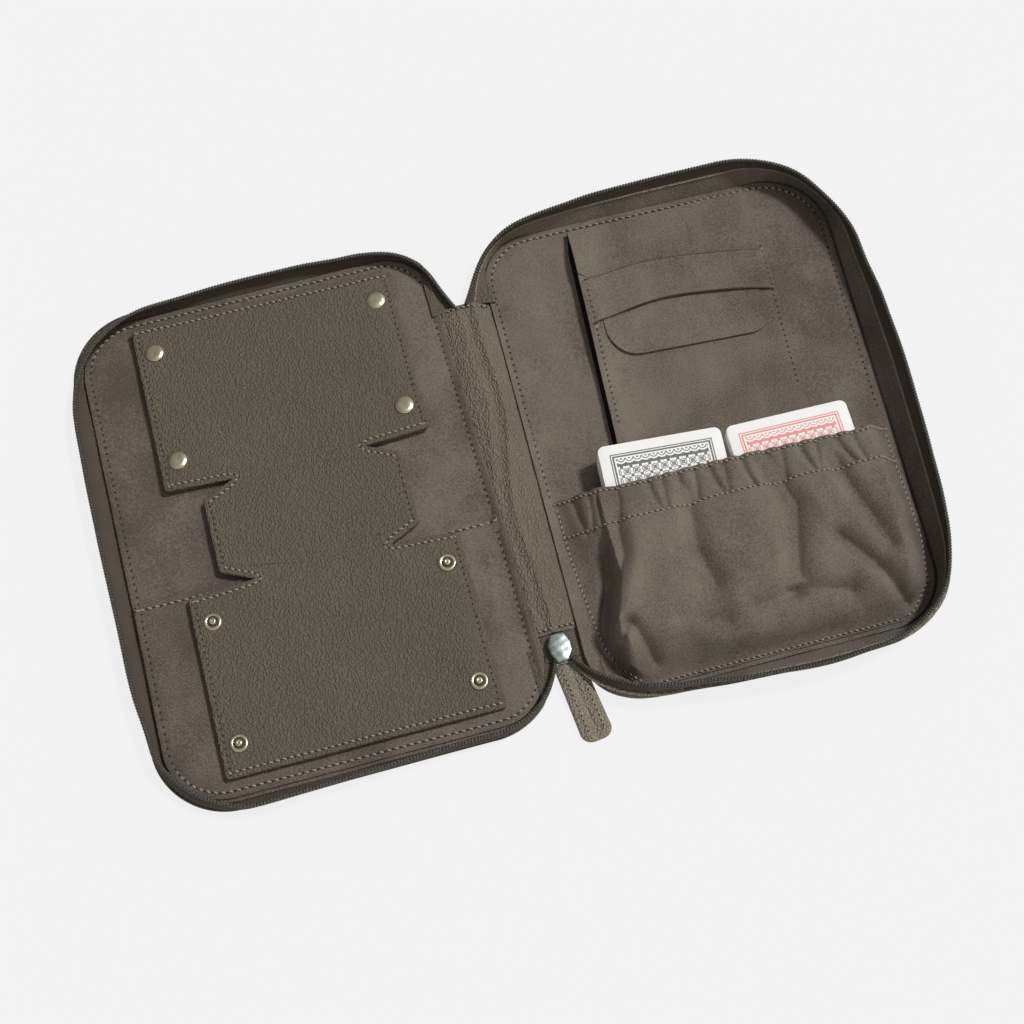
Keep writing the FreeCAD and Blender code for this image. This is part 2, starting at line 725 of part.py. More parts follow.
for pull_name, pull_solid in (("pull_link", link), ("pull_tab", tab)):
    pull_solid.rotate(V(0, 0, 0), V(1, 0, 0), pull_droop_deg)
    pull_solid.translate(V(spine_cx, pull_axis_y, pull_axis_z))
    parts[pull_name] = pull_solid

os.makedirs("parts", exist_ok=True)
for node, shape in parts.items():
    shape.exportStep("parts/" + node + ".step")
    print(node, len(shape.Solids), "solids", round(shape.Volume / 1000, 3), "cm3", "valid", shape.isValid())
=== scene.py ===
"""Looks of a zip-around travel game case that lies open like a book.

Every surface is worked out in millimetres in the case's own frame and put into its mesh in metres.
+X runs across both halves, +Y along the spine, +Z up out of the open case.
"""
import math

import bmesh
import bpy
import numpy as np
from mathutils import Matrix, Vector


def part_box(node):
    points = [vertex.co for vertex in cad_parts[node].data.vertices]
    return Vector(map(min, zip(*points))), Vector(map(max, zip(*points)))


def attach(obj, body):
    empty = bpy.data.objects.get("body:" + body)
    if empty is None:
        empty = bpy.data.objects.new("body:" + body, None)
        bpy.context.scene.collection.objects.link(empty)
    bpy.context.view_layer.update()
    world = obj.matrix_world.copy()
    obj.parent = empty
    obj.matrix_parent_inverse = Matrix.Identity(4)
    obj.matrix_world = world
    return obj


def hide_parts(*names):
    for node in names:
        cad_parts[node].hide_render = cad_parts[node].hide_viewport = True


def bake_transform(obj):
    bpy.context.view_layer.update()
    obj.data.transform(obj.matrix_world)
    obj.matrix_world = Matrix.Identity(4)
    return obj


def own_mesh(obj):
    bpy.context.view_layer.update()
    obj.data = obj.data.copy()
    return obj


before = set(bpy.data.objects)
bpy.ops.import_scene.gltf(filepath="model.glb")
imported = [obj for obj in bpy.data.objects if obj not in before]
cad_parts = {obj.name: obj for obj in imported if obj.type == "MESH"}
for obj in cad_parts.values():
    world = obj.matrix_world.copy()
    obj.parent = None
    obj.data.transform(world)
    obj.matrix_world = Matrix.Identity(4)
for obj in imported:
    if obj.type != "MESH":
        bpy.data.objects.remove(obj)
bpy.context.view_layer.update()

bl_info = {
    "name": "Leather Game Case",
    "version": (1, 0, 0),
    "blender": (4, 5, 0),
    "location": "3D View > Sidebar > Game Case",
    "description": "Dresses an open travel game case in leather, suede, zip, snaps and cards",
    "category": "Object",
}

MM = 0.001
UP = np.array([0.0, 0.0, 1.0])


def corner_boxes(*nodes):
    """Lowest and highest corner of several nodes together, in millimetres."""
    boxes = [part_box(node) for node in nodes]
    low = np.min([np.array(box[0]) for box in boxes], axis=0) / MM
    high = np.max([np.array(box[1]) for box in boxes], axis=0) / MM
    return low, high


# Places read from the frame.
HALVES = ("right", "left")
RIGHT_CREASE = corner_boxes("right_cover")[0][0]
LEFT_CREASE = corner_boxes("left_cover")[1][0]
SPINE_HIGH = corner_boxes("spine_cover")[1]
FLOOR_Z = corner_boxes("right_lining")[1][2]
SPINE_X = (RIGHT_CREASE + LEFT_CREASE) / 2
SPINE_END = SPINE_HIGH[1]
SPINE_TOP = corner_boxes("spine_lining")[1][2]
ZIP_END_Z = corner_boxes("zip_end_coils")[1][2]

# Plan corners of the two soft rims and of the lining edges below them. The walls bow out or are
# drawn in by a few millimetres, and both rims run in to the spine's ends. They start at the spine's
# lower end and go round by the free side, and every list has the radius of each rounded corner.
RIM_PLAN = {
    "right": ([(-109.0, -99.0), (-90.5, -136.0), (89.5, -141.5), (108.0, 137.0), (-81.5, 136.5),
               (-107.6, 97.0)],
              [0, 62, 58, 62, 66, 0]),
    "left": ([(-112.0, -99.0), (-127.0, -133.5), (-311.0, -138.5), (-319.0, 134.5), (-135.5, 140.5),
              (-113.2, 96.0)],
             [0, 46, 45, 50, 43, 0]),
}
EDGE_PLAN = {
    "right": ([(-100.0, -94.0), (-100.5, -131.0), (80.5, -131.5), (96.2, 130.5), (-93.5, 132.0),
               (-94.0, 94.0)],
              [0, 26, 30, 34, 28, 0]),
    "left": ([(-119.0, -94.0), (-118.7, -131.0), (-309.0, -131.5), (-311.5, 136.0), (-122.3, 137.2),
              (-121.8, 94.0)],
             [0, 34, 32, 30, 27, 0]),
}
# How far each rim sways outwards from its plan, at even shares of its length.
RIM_SWAY = {
    "right": (0, -0.7, -1.4, 2.8, 4.8, 1.8, 1.3, -2.3, 0.3, 1.4, 1.9, 0.5, -3.2, -4.3, 0.1, 0.7, 0.7, 0.1,
              -3.3, 1.5, 0),
    "left": (0, 1.2, -1.0, -0.8, -0.3, 0.1, -1.2, 0.8, 3.7, 3.1, 3.1, 2.6, 1.6, -0.8, -0.1, 1.3, 2.4, 1.6,
             -1.3, 2.3, 0),
}
SWAY_BLUR = 0.03
RIM_HEIGHT = {half: corner_boxes(half + "_zip_coil")[1][2] for half in HALVES}
RIM_RAMP = {"right": 60.0, "left": 40.0}
CREASES = {"right": RIGHT_CREASE, "left": LEFT_CREASE}
# Direction along X from each half to the spine.
SPINE_SIDE = {"right": -1.0, "left": 1.0}

# Distances over which pieces would bend at a crease: inside it, on the half, and beyond it, on the spine.
# Nothing bends them.
LEATHER_FOLD = 6.0
OUTER_FOLD = 11.0
ZIP_FOLD_INSIDE = 5.0
ZIP_FOLD = {"right": 13.0, "left": 12.0}


def length(name, description, default):
    """A length property with its default in millimetres."""
    return bpy.props.FloatProperty(name=name, description=description, default=default * MM, min=0.0,
                                   unit="LENGTH")


def colour(name, description, default):
    """A linear colour property."""
    return bpy.props.FloatVectorProperty(name=name, description=description, default=default, size=3,
                                         min=0.0, max=1.0, subtype="COLOR")


class CaseSizes(bpy.types.PropertyGroup):
    """Sizes that a maker of the case would change."""

    coil_width: length("Coil width", "Width of one row of zip coil", 2.2)
    coil_height: length("Coil height", "Height of one row of zip coil", 2.1)
    coil_pitch: length("Coil pitch", "Distance from one turn of the coil to the next", 1.6)
    tape_thickness: length("Tape thickness", "Thickness of the zip tape", 0.8)
    wall_thickness: length("Wall thickness", "Thickness of the leather wall", 1.0)
    foot_round: length("Foot rounding", "Rounding where the wall turns into the base", 5.0)
    lining_gap: length("Lining gap", "Dark gap between the lining's edge and the wall", 1.5)
    stitch_pitch: length("Stitch pitch", "Distance from one stitch to the next", 3.7)
    stitch_length: length("Stitch length", "Length of thread that shows between two needle holes", 2.5)
    thread_width: length("Thread width", "Width of the sewing thread", 1.25)
    needle_hole: length("Needle hole", "Width of the dimple round each needle hole", 1.35)
    seam_inset: length("Seam inset", "Distance of a seam from the edge beside it", 3.6)
    wallet_lift: length("Wallet lift", "How far the wallet's free edge stands up", 5.0)
    pocket_thickness: length("Pocket thickness", "Thickness of the pocket's suede", 0.7)


class CaseColours(bpy.types.PropertyGroup):
    """Colours of the case's finishes."""

    leather: colour("Leather", "Grained taupe leather", (0.078, 0.066, 0.049))
    # Colour of the painted highlight on the tops of the leather's grain.
    leather_ridge_highlight: colour("Leather ridges", "Lighter tops of the leather's grain", (0.168, 0.145, 0.107))
    suede: colour("Suede", "Brushed suede", (0.188, 0.158, 0.124))
    suede_dark: colour("Suede shade", "Suede where the nap lies the other way", (0.083, 0.068, 0.053))
    tape: colour("Tape", "Woven zip tape", (0.052, 0.041, 0.031))
    coil: colour("Coil", "Zip coil", (0.040, 0.039, 0.033))
    thread: colour("Thread", "Sewing thread", (0.35, 0.31, 0.245))
    snap: colour("Snaps", "Pale nickel plating over brass", (0.84, 0.76, 0.55))
    slider: colour("Slider", "Zinc zip slider", (0.54, 0.60, 0.56))
    paper: colour("Paper", "Card stock", (0.93, 0.92, 0.89))
    slate_ink: colour("Slate ink", "Print on the left deck", (0.055, 0.062, 0.072))
    red_ink: colour("Red ink", "Print on the right deck", (0.79, 0.23, 0.20))
    floor: colour("Floor", "Pale studio floor", (0.895, 0.895, 0.895))


class StageSettings(bpy.types.PropertyGroup):
    """The camera's place and the light."""

    field_of_view: bpy.props.FloatProperty(name="Field of view",
                                           description="Angle across the square picture",
                                           default=math.radians(32.0), subtype="ANGLE")
    distance: length("Distance", "From the camera to the point that it looks at", 910.0)
    tilt: bpy.props.FloatProperty(name="Tilt", description="Lean of the view from straight down",
                                  default=math.radians(20.93), subtype="ANGLE")
    pan: bpy.props.FloatProperty(name="Pan", description="Turn of the view to one side",
                                 default=math.radians(-5.45), subtype="ANGLE")
    roll: bpy.props.FloatProperty(name="Roll", description="Turn of the picture about its middle",
                                  default=math.radians(16.09), subtype="ANGLE")
    look_at: bpy.props.FloatVectorProperty(name="Look at", description="Point in the middle of the picture",
                                           default=(-113.8 * MM, -20.7 * MM, 0.0), size=3,
                                           subtype="TRANSLATION", unit="LENGTH")
    key_strength: bpy.props.FloatProperty(name="Key light",
                                          description="Strength of the soft light from the right",
                                          default=2.15, min=0.0)
    sky_strength: bpy.props.FloatProperty(name="Sky light",
                                          description="Strength of the even light all round",
                                          default=0.41, min=0.0)


def sizes():
    """The maker's sizes in millimetres, by name."""
    group = bpy.context.scene.case_sizes
    return {name: getattr(group, name) / MM for name in CaseSizes.__annotations__}


# Curves and surfaces

def unit(vector):
    """A vector of length 1 in the same direction."""
    return vector / np.linalg.norm(vector)


def smooth(value):
    """Smooth step from 0 to 1: 3t^2 - 2t^3 of the clipped value."""
    t = np.clip(value, 0.0, 1.0)
    return t * t * (3 - 2 * t)


def ripple(x, y, waves):
    """Sum of sine waves over the plan: height, wavelength, direction in degrees and phase of each."""
    total = np.zeros(np.broadcast(x, y).shape)
    for height, wavelength, degrees, phase in waves:
        turn = math.radians(degrees)
        along = x * math.cos(turn) + y * math.sin(turn)
        total = total + height * np.sin(2 * np.pi * along / wavelength + phase)
    return total


def rounded_path(corners, radii, closed=False, straight=24, bend=24):
    """Plan path through corners, each rounded by a tangent arc of its radius.

    Every straight and every arc has its own fixed count of evenly spaced points, so two paths with as
    many corners match point by point.
    """
    corners = np.asarray(corners, float)
    count = len(corners)
    spans = []
    for i in range(count):
        here = corners[i]
        if radii[i] == 0:
            spans.append(here[None, :])
            continue
        back = unit(corners[i - 1] - here)
        ahead = unit(corners[(i + 1) % count] - here)
        half = math.acos(float(np.clip(back @ ahead, -1, 1))) / 2
        start = here + back * radii[i] / math.tan(half)
        centre = here + unit(back + ahead) * radii[i] / math.sin(half)
        angle = np.linspace(0, math.pi - 2 * half, bend)[:, None]
        spans.append(centre + (start - centre) * np.cos(angle) - back * radii[i] * np.sin(angle))
    share = np.linspace(0, 1, straight + 2)[1:-1, None]
    pieces = []
    for i in range(count):
        pieces.append(spans[i])
        if closed or i < count - 1:
            end = spans[i][-1]
            pieces.append(end + (spans[(i + 1) % count][0] - end) * share)
    return np.concatenate(pieces)


def lifted(plan, z):
    """Plan path raised to a height."""
    return np.column_stack([plan, np.broadcast_to(z, len(plan))])


def travel(path):
    """Distance along a path at each of its points."""
    return np.concatenate([[0.0], np.cumsum(np.linalg.norm(np.diff(path, axis=0), axis=1))])


def resampled(path, step):
    """Points along a path, about a step apart and evenly spaced."""
    run = travel(path)
    count = max(2, int(round(run[-1] / step)) + 1)
    places = np.linspace(0, run[-1], count)
    return np.stack([np.interp(places, run, path[:, k]) for k in range(path.shape[1])], axis=1)


def sideways(path, closed=False):
    """Level unit vectors square to a path, on its right-hand side."""
    if closed:
        along = np.roll(path, -1, axis=0) - np.roll(path, 1, axis=0)
    else:
        along = np.gradient(path, axis=0)
    side = np.stack([along[:, 1], -along[:, 0]], axis=1)
    side = side / np.linalg.norm(side, axis=1, keepdims=True)
    return np.column_stack([side, np.zeros(len(side))])


LONGEST_MITRE = 1.25


def drawn_in(outline, inset):
    """Closed anticlockwise outline moved inwards by an inset, one for all points or one for each.

    Corners are mitred, and a sharp corner moves no further than LONGEST_MITRE insets.
    """
    ahead = np.roll(outline, -1, axis=0) - outline
    ahead = ahead / np.linalg.norm(ahead, axis=1, keepdims=True)
    normal = np.stack([-ahead[:, 1], ahead[:, 0]], axis=1)
    before = np.roll(normal, 1, axis=0)
    mitre = (normal + before) / np.maximum(1 + np.sum(normal * before, axis=1, keepdims=True), 0.05)
    mitre = mitre * np.minimum(1.0, LONGEST_MITRE / np.linalg.norm(mitre, axis=1, keepdims=True))
    return outline + mitre * np.reshape(inset, (-1, 1))


class Shape:
    """Points, faces, surface coordinates and material numbers gathered into one mesh."""

    def __init__(self):
        self.points = []
        self.faces = []
        self.coordinates = []
        self.materials = []
        self.count = 0

    def mesh(self, points, faces, material=0):
        """Add loose faces."""
        self.points.append(np.asarray(points, float).reshape(-1, 3))
        rows = np.asarray(faces) + self.count
        self.faces.extend(rows.tolist())
        self.coordinates.append(np.zeros((rows.size, 2)))
        self.materials.extend([material] * len(rows))
        self.count += len(self.points[-1])

    def grid(self, grid, wrap=False, caps=False, material=0):
        """Add a grid of points as quads. wrap closes each row on itself, caps closes the two end rows.

        Surface coordinates run along the rows and across them, in metres.
        """
        rows, columns = grid.shape[:2]
        i, j = np.meshgrid(np.arange(rows - 1), np.arange(columns if wrap else columns - 1), indexing="ij")
        k = (j + 1) % columns
        quads = np.stack([i * columns + j, (i + 1) * columns + j, (i + 1) * columns + k, i * columns + k],
                         axis=-1)
        along = travel(grid[:, columns // 2])
        ring = np.concatenate([grid, grid[:, :1]], axis=1) if wrap else grid
        across = travel(ring[rows // 2])
        corners = [(along[i], across[j]), (along[i + 1], across[j]), (along[i + 1], across[j + 1]),
                   (along[i], across[j + 1])]
        places = np.stack([np.stack(pair, axis=-1) for pair in corners], axis=2)
        self.points.append(grid.reshape(-1, 3))
        self.faces.extend((quads.reshape(-1, 4) + self.count).tolist())
        self.coordinates.append(places.reshape(-1, 2) * MM)
        self.materials.extend([material] * quads[..., 0].size)
        if caps:
            first = np.arange(columns)
            last = first + (rows - 1) * columns
            self.faces.append((first + self.count).tolist())
            self.faces.append((last + self.count).tolist())
            self.coordinates.append(np.zeros((2 * columns, 2)))
            self.materials.extend([material] * 2)
        self.count += rows * columns

    def band(self, inner, outward, thickness, material=0):
        """Add a strip of cloth: a grid and its copy moved outwards by the thickness, closed all round."""
        outer = inner + outward[:, None, :] * thickness
        self.grid(np.concatenate([inner, outer[:, ::-1]], axis=1), wrap=True, caps=True, material=material)

    def slab(self, top, thickness, material=0):
        """Add a sheet: a grid and its copy moved down along the grid's normals, closed all round."""
        rows = np.gradient(top, axis=0)
        columns = np.gradient(top, axis=1)
        normal = np.cross(rows, columns)
        normal = normal / np.linalg.norm(normal, axis=2, keepdims=True)
        normal = normal * np.sign(normal[..., 2:3])
        low = top - normal * thickness
        self.grid(np.concatenate([top, low[:, ::-1]], axis=1), wrap=True, caps=True, material=material)

    def pad(self, outline, profile, centre=None, rings=8, relief=None, under=None, free=1.0):
        """Add a closed plate that is rounded along its edge.

        profile lists (inset, height) from the underside's rim, round the edge, to the flat top. Inside
        the last ring the plate shrinks towards its centre, and relief adds a height over the plan.
        under gives a second material number for the rings up to that index of the profile. free is 1
        where the edge is rounded and 0 where the plate meets its twin along a plain joint.
        """
        middle = np.mean(outline, axis=0) if centre is None else np.asarray(centre, float)
        free = np.broadcast_to(free, len(outline))
        bottom, top = profile[0][1], profile[-1][1]
        edge = []
        for inset, height in profile:
            flat = top if 2 * height > bottom + top else bottom
            edge.append(lifted(drawn_in(outline, inset * free), flat + (height - flat) * free))
        shares = np.linspace(0, 1, rings + 1)[:-1]
        below = [lifted(middle + (edge[0][:, :2] - middle) * share, bottom) for share in shares]
        above = [lifted(middle + (edge[-1][:, :2] - middle) * share, top) for share in shares[::-1]]
        grid = np.stack(below + edge + above)
        if relief is not None:
            grid[..., 2] += relief(grid[..., 0], grid[..., 1])
        if under is None:
            self.grid(grid, wrap=True)
            return
        cut = rings + under
        self.grid(grid[:cut + 1], wrap=True, material=1)
        self.grid(grid[cut:], wrap=True)

    def lathe(self, profile, places, turns=36, material=0):
        """Add the same turned form at several places: (radius, height) points spun about Z."""
        angle = np.linspace(0, 2 * np.pi, turns, endpoint=False)
        profile = np.asarray(profile, float)
        ring = np.stack([np.cos(angle), np.sin(angle)], axis=1)
        heights = np.broadcast_to(profile[:, None, 1:], (len(profile), turns, 1))
        form = np.concatenate([profile[:, None, :1] * ring[None], heights], axis=2)
        for place in places:
            self.grid(form + place, wrap=True, material=material)

    def solid(self, name, finishes, replaces=()):
        """The finished object: doubles merged, normals outwards, sharp edges marked."""
        mesh = bpy.data.meshes.new(name)
        mesh.from_pydata(np.concatenate(self.points) * MM, [], self.faces)
        layer = mesh.uv_layers.new(name="surface")
        layer.data.foreach_set("uv", np.concatenate(self.coordinates).astype(np.float32).ravel())
        mesh.polygons.foreach_set("material_index", np.array(self.materials, np.int32))
        mesh.polygons.foreach_set("use_smooth", np.ones(len(self.faces), bool))
        work = bmesh.new()
        work.from_mesh(mesh)
        bmesh.ops.remove_doubles(work, verts=work.verts, dist=1e-7)
        bmesh.ops.recalc_face_normals(work, faces=work.faces)
        work.to_mesh(mesh)
        work.free()
        mesh.set_sharp_from_angle(angle=math.radians(42))
        for material in finishes:
            mesh.materials.append(material)
        piece = bpy.data.objects.new(name, mesh)
        bpy.context.scene.collection.objects.link(piece)
        if replaces:
            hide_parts(*replaces)
        return piece


def bead_form(sides=6, rings=4):
    """Points and faces of a small closed ellipsoid about the origin, of length, width and height 1."""
    polar = np.linspace(0, np.pi, rings + 2)
    round_angle = np.linspace(0, 2 * np.pi, sides, endpoint=False)
    x = np.repeat(-np.cos(polar)[:, None], sides, axis=1)
    y = np.sin(polar)[:, None] * np.cos(round_angle)[None]
    z = np.sin(polar)[:, None] * np.sin(round_angle)[None]
    i, j = np.meshgrid(np.arange(rings + 1), np.arange(sides), indexing="ij")
    k = (j + 1) % sides
    quads = np.stack([i * sides + j, (i + 1) * sides + j, (i + 1) * sides + k, i * sides + k], axis=-1)
    return np.stack([x, y, z], axis=-1).reshape(-1, 3) / 2, quads.reshape(-1, 4)


def sew(shape, path, yaw=22.0, size=1.0, raised=0.3, sink=0.78, dimple=1.0):
    """Add a row of stitches along a path: a bead of thread per stitch and, between two, a needle hole
    painted dark as the shade in it.

    Each bead lies along the path, turned a little, with a share of its width raised. A row along the
    spine is pulled deep into the leather, by the share sink, so there the holes show more than the thread.
    dimple scales the holes.
    """
    size_of = sizes()
    pitch = size_of["stitch_pitch"] * size
    path = resampled(path, pitch)
    along = np.gradient(path, axis=0)
    along = along / np.linalg.norm(along, axis=1, keepdims=True)
    side = sideways(path)
    over = np.cross(side, along)
    form, quads = bead_form()
    width = size_of["thread_width"] * size
    deep = along[:, 1:2] ** 2
    hole = size_of["needle_hole"] * size * dimple
    # The second part is the needle hole: a flat dark dimple of painted shade.
    parts = ((size_of["stitch_length"] * size, width, width, width * (raised - sink * deep), 0.0, yaw, 0),
             (hole, hole, 0.3 * hole, 0.04 * hole, 0.5, 0.0, 1))
    for long, wide, high, lift, phase, turn, material in parts:
        spin = math.radians(turn)
        first = along * math.cos(spin) + side * math.sin(spin)
        second = side * math.cos(spin) - along * math.sin(spin)
        place = path + over * lift + along * pitch * phase
        points = place[:, None] + first[:, None] * form[None, :, :1] * long
        points = points + second[:, None] * form[None, :, 1:2] * wide
        points = points + over[:, None] * form[None, :, 2:] * high
        steps = np.arange(len(path))[:, None, None] * len(form)
        shape.mesh(points, (quads[None] + steps).reshape(-1, 4), material)


def fold_with(piece, half, inside=LEATHER_FOLD, beyond=LEATHER_FOLD):
    """Bake a piece's place into its mesh; the span from a distance inside the crease to one beyond it, over
    which it would bend from a half to the spine, is worked out but not used.
    """
    start = CREASES[half] - SPINE_SIDE[half] * inside
    end = CREASES[half] + SPINE_SIDE[half] * beyond
    start * MM
    end * MM
    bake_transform(piece)


def wall_paths(half):
    """The lining-edge path at the floor and the rim path under the coil, matched point by point."""
    gap = sizes()["lining_gap"]
    edge = rounded_path(*EDGE_PLAN[half])
    rim = rounded_path(*RIM_PLAN[half])
    run = travel(rim)
    rise = smooth(np.minimum(run, run[-1] - run) / RIM_RAMP[half])
    top = RIM_HEIGHT[half] - sizes()["coil_height"]
    low = ZIP_END_Z - sizes()["coil_height"]
    outward = sideways(rim) * -SPINE_SIDE[half]
    knots = np.linspace(0, 1, len(RIM_SWAY[half]))
    weight = np.exp(-((run[:, None] / run[-1] - knots) / SWAY_BLUR) ** 2)
    rim = rim + outward[:, :2] * (weight @ RIM_SWAY[half] / weight.sum(axis=1))[:, None]
    edge = lifted(edge, FLOOR_Z - 0.5) + outward * gap * np.abs(outward[:, :1]) ** 0.5
    return edge, lifted(rim, low + (top - low) * rise), outward


def wall_grid(half, low_share, high_share, bulge, columns=7):
    """Part of a soft wall: straight lines from the lining's edge to the rim, bulged by a sine between."""
    edge, rim, outward = wall_paths(half)
    share = np.linspace(low_share, high_share, columns)[None, :, None]
    grid = edge[:, None] * (1 - share) + rim[:, None] * share
    return grid + outward[:, None] * bulge * np.sin(np.pi * share), outward


# Ends of the spine's inner leather: the lower one, and the upper one, which slopes off right of a place.
SPINE_LOW_END = -90.5
SPINE_TOP_END = 98.0
SPINE_SLOPE = 0.28
SPINE_SLOPE_FROM = -107.0
# Its ridge: offset at the lower end, swing to the right over a length going up, and a slow wave.
RIDGE_OFFSET = -2.5
RIDGE_SWING = 8.5
RIDGE_FROM = -25.0
RIDGE_LENGTH = 75.0
RIDGE_WAVE = 1.2
RIDGE_WAVE_LENGTH = 16.0
# Its arch: the margin at each side, and the height of its edges over the linings.
ARCH_MARGIN = 2.0
ARCH_EDGE = 0.6


def spine_top_end(x):
    """Where the spine's inner leather ends at the top: level, and sloping off at the right."""
    return SPINE_TOP_END - SPINE_SLOPE * np.maximum(x - SPINE_SLOPE_FROM, 0.0)


def spine_ridge(y):
    """Place of the spine's ridge, which swings to the right going up."""
    swung = SPINE_X + RIDGE_OFFSET + RIDGE_SWING * smooth((y - RIDGE_FROM) / RIDGE_LENGTH)
    return swung + RIDGE_WAVE * np.sin(y / RIDGE_WAVE_LENGTH)


def spine_z(x, y):
    """Height of the spine's inner face: a low arch over its ridge."""
    half = (RIGHT_CREASE - LEFT_CREASE) / 2 - ARCH_MARGIN
    ridge = spine_ridge(y)
    reach = np.where(x > ridge, SPINE_X + half - ridge, ridge - SPINE_X + half)
    t = np.clip(np.abs(x - ridge) / reach, 0, 1.35)
    return FLOOR_Z + ARCH_EDGE + (SPINE_TOP - FLOOR_Z - ARCH_EDGE) * (1 - t ** 3)


# Finishes

class Link:
    """An output socket that works in arithmetic: every operation adds a Math node."""

    def __init__(self, finish, socket):
        self.finish = finish
        self.socket = socket

    def __add__(self, other):
        return self.finish.math("ADD", self, other)

    def __sub__(self, other):
        return self.finish.math("SUBTRACT", self, other)

    def __rsub__(self, other):
        return self.finish.math("SUBTRACT", other, self)

    def __mul__(self, other):
        return self.finish.math("MULTIPLY", self, other)

    def __truediv__(self, other):
        return self.finish.math("DIVIDE", self, other)

    def __lt__(self, other):
        return self.finish.math("LESS_THAN", self, other)

    def __gt__(self, other):
        return self.finish.math("GREATER_THAN", self, other)

    def __abs__(self):
        return self.finish.math("ABSOLUTE", self, 0.0)

    __radd__ = __add__
    __rmul__ = __mul__


class Nodes:
    """A node tree with short ways to add nodes."""

    def __init__(self, tree):
        self.tree = tree
        tree.nodes.clear()

    def put(self, node, inputs):
        """Set or link the inputs of a node."""
        for key, value in inputs.items():
            if isinstance(value, Link):
                self.tree.links.new(value.socket, node.inputs[key])
            else:
                node.inputs[key].default_value = value

    def add(self, kind, settings, inputs, output=0):
        """Add a node of a kind, set it up and return one of its outputs."""
        node = self.tree.nodes.new(kind)
        for key, value in settings.items():
            setattr(node, key, value)
        self.put(node, inputs)
        return Link(self, node.outputs[output])

    def ray(self, kind):
        """1 for light rays of a kind, such as those from the camera, and 0 for others."""
        return self.add("ShaderNodeLightPath", {}, {}, "Is %s Ray" % kind)


class Finish(Nodes):
    """One material: its node tree, its shader and the patterns that its colours are made of."""

    def __init__(self, name):
        self.material = bpy.data.materials.new(name)
        self.material.use_nodes = True
        super().__init__(self.material.node_tree)
        self.shader = self.tree.nodes.new("ShaderNodeBsdfPrincipled")
        self.output = self.tree.nodes.new("ShaderNodeOutputMaterial")
        self.put(self.output, {0: Link(self, self.shader.outputs[0])})

    def math(self, operation, first, second):
        return self.add("ShaderNodeMath", {"operation": operation}, {0: first, 1: second})

    def object_place(self):
        return self.add("ShaderNodeTexCoord", {}, {}, "Object")

    def surface_place(self):
        return self.add("ShaderNodeUVMap", {"uv_map": "surface"}, {})

    def split(self, vector):
        node = self.tree.nodes.new("ShaderNodeSeparateXYZ")
        self.put(node, {0: vector})
        return [Link(self, node.outputs[k]) for k in range(3)]

    def stretched(self, vector, scale):
        return self.add("ShaderNodeMapping", {}, {"Vector": vector, "Scale": scale})

    def noise(self, vector, size, detail=2.0, roughness=0.5, distortion=0.0):
        """Noise whose blotches are about a size in metres."""
        return self.add("ShaderNodeTexNoise", {}, {"Vector": vector, "Scale": 1 / size, "Detail": detail,
                                                   "Roughness": roughness, "Distortion": distortion})

    def ramp(self, value, low, high):
        """Value spread so that low gives 0 and high gives 1, smoothly."""
        return self.add("ShaderNodeMapRange", {"interpolation_type": "SMOOTHSTEP"},
                        {"Value": value, "From Min": low, "From Max": high})

    def mix(self, factor, first, second):
        """Colour between two colours."""
        pair = [value if isinstance(value, Link) else (*value, 1.0) for value in (first, second)]
        return self.add("ShaderNodeMix", {"data_type": "RGBA"}, {0: factor, 6: pair[0], 7: pair[1]}, 2)

    def bump(self, height, distance, strength=1.0):
        return self.add("ShaderNodeBump", {},
                        {"Height": height, "Distance": distance, "Strength": strength})

    def shade(self, **inputs):
        """Set the shader's sockets, written with underscores for spaces."""
        named = {"Specular IOR Level": 0.2}
        named.update({key.replace("_", " "): value for key, value in inputs.items()})
        self.put(self.shader, {key: (*value, 1.0) if isinstance(value, tuple) and len(value) == 3 else value
                               for key, value in named.items()})
        return self.material


def tinted(colour, share):
    """A colour made lighter or darker by a share."""
    return tuple(share * part for part in colour)


def grained(finish, colours, stretch, cell, light=1.0, crease=0.5, **extra):
    """Pebbled leather: rounded cells whose tops carry a painted highlight and whose valleys carry painted
    shade, over slow changes of tone.
    """
    place = finish.object_place()
    wander = finish.noise(place, 3.0 * cell, 2.0)
    shifted = finish.add("ShaderNodeVectorMath", {"operation": "ADD"}, {
        0: finish.stretched(place, (1.0, stretch, 1.0)),
        1: finish.add("ShaderNodeCombineXYZ", {}, {0: wander * (1.4 * cell), 1: wander * cell, 2: 0.0})})
    cells = finish.add("ShaderNodeTexVoronoi", {"feature": "F1"}, {"Vector": shifted, "Scale": 1 / cell},
                       "Distance")
    dome = finish.ramp(cells, 0.85, 0.1)
    creases = finish.noise(finish.stretched(place, (1.0, stretch, 1.0)), 2.2 * cell, 2.0)
    height = dome + creases * crease
    tone = finish.noise(place, 0.035, 2.0)
    # Painted light: the colour is lighter on the grain's domes and darker in its valleys, as painted
    # highlight and shade, mixed with the leather's own slow tone.
    lit = finish.ramp(dome * 0.3 + creases * 0.15 + tone * 0.3, -0.1, 0.86)
    low = tinted(colours.leather, light)
    high = tinted(colours.leather_ridge_highlight, light)
    return finish.shade(Base_Color=finish.mix(lit, low, high), Normal=finish.bump(height, 0.0007, 0.9),
                        Roughness=extra.pop("rough", 0.66) - lit * 0.1, **extra)


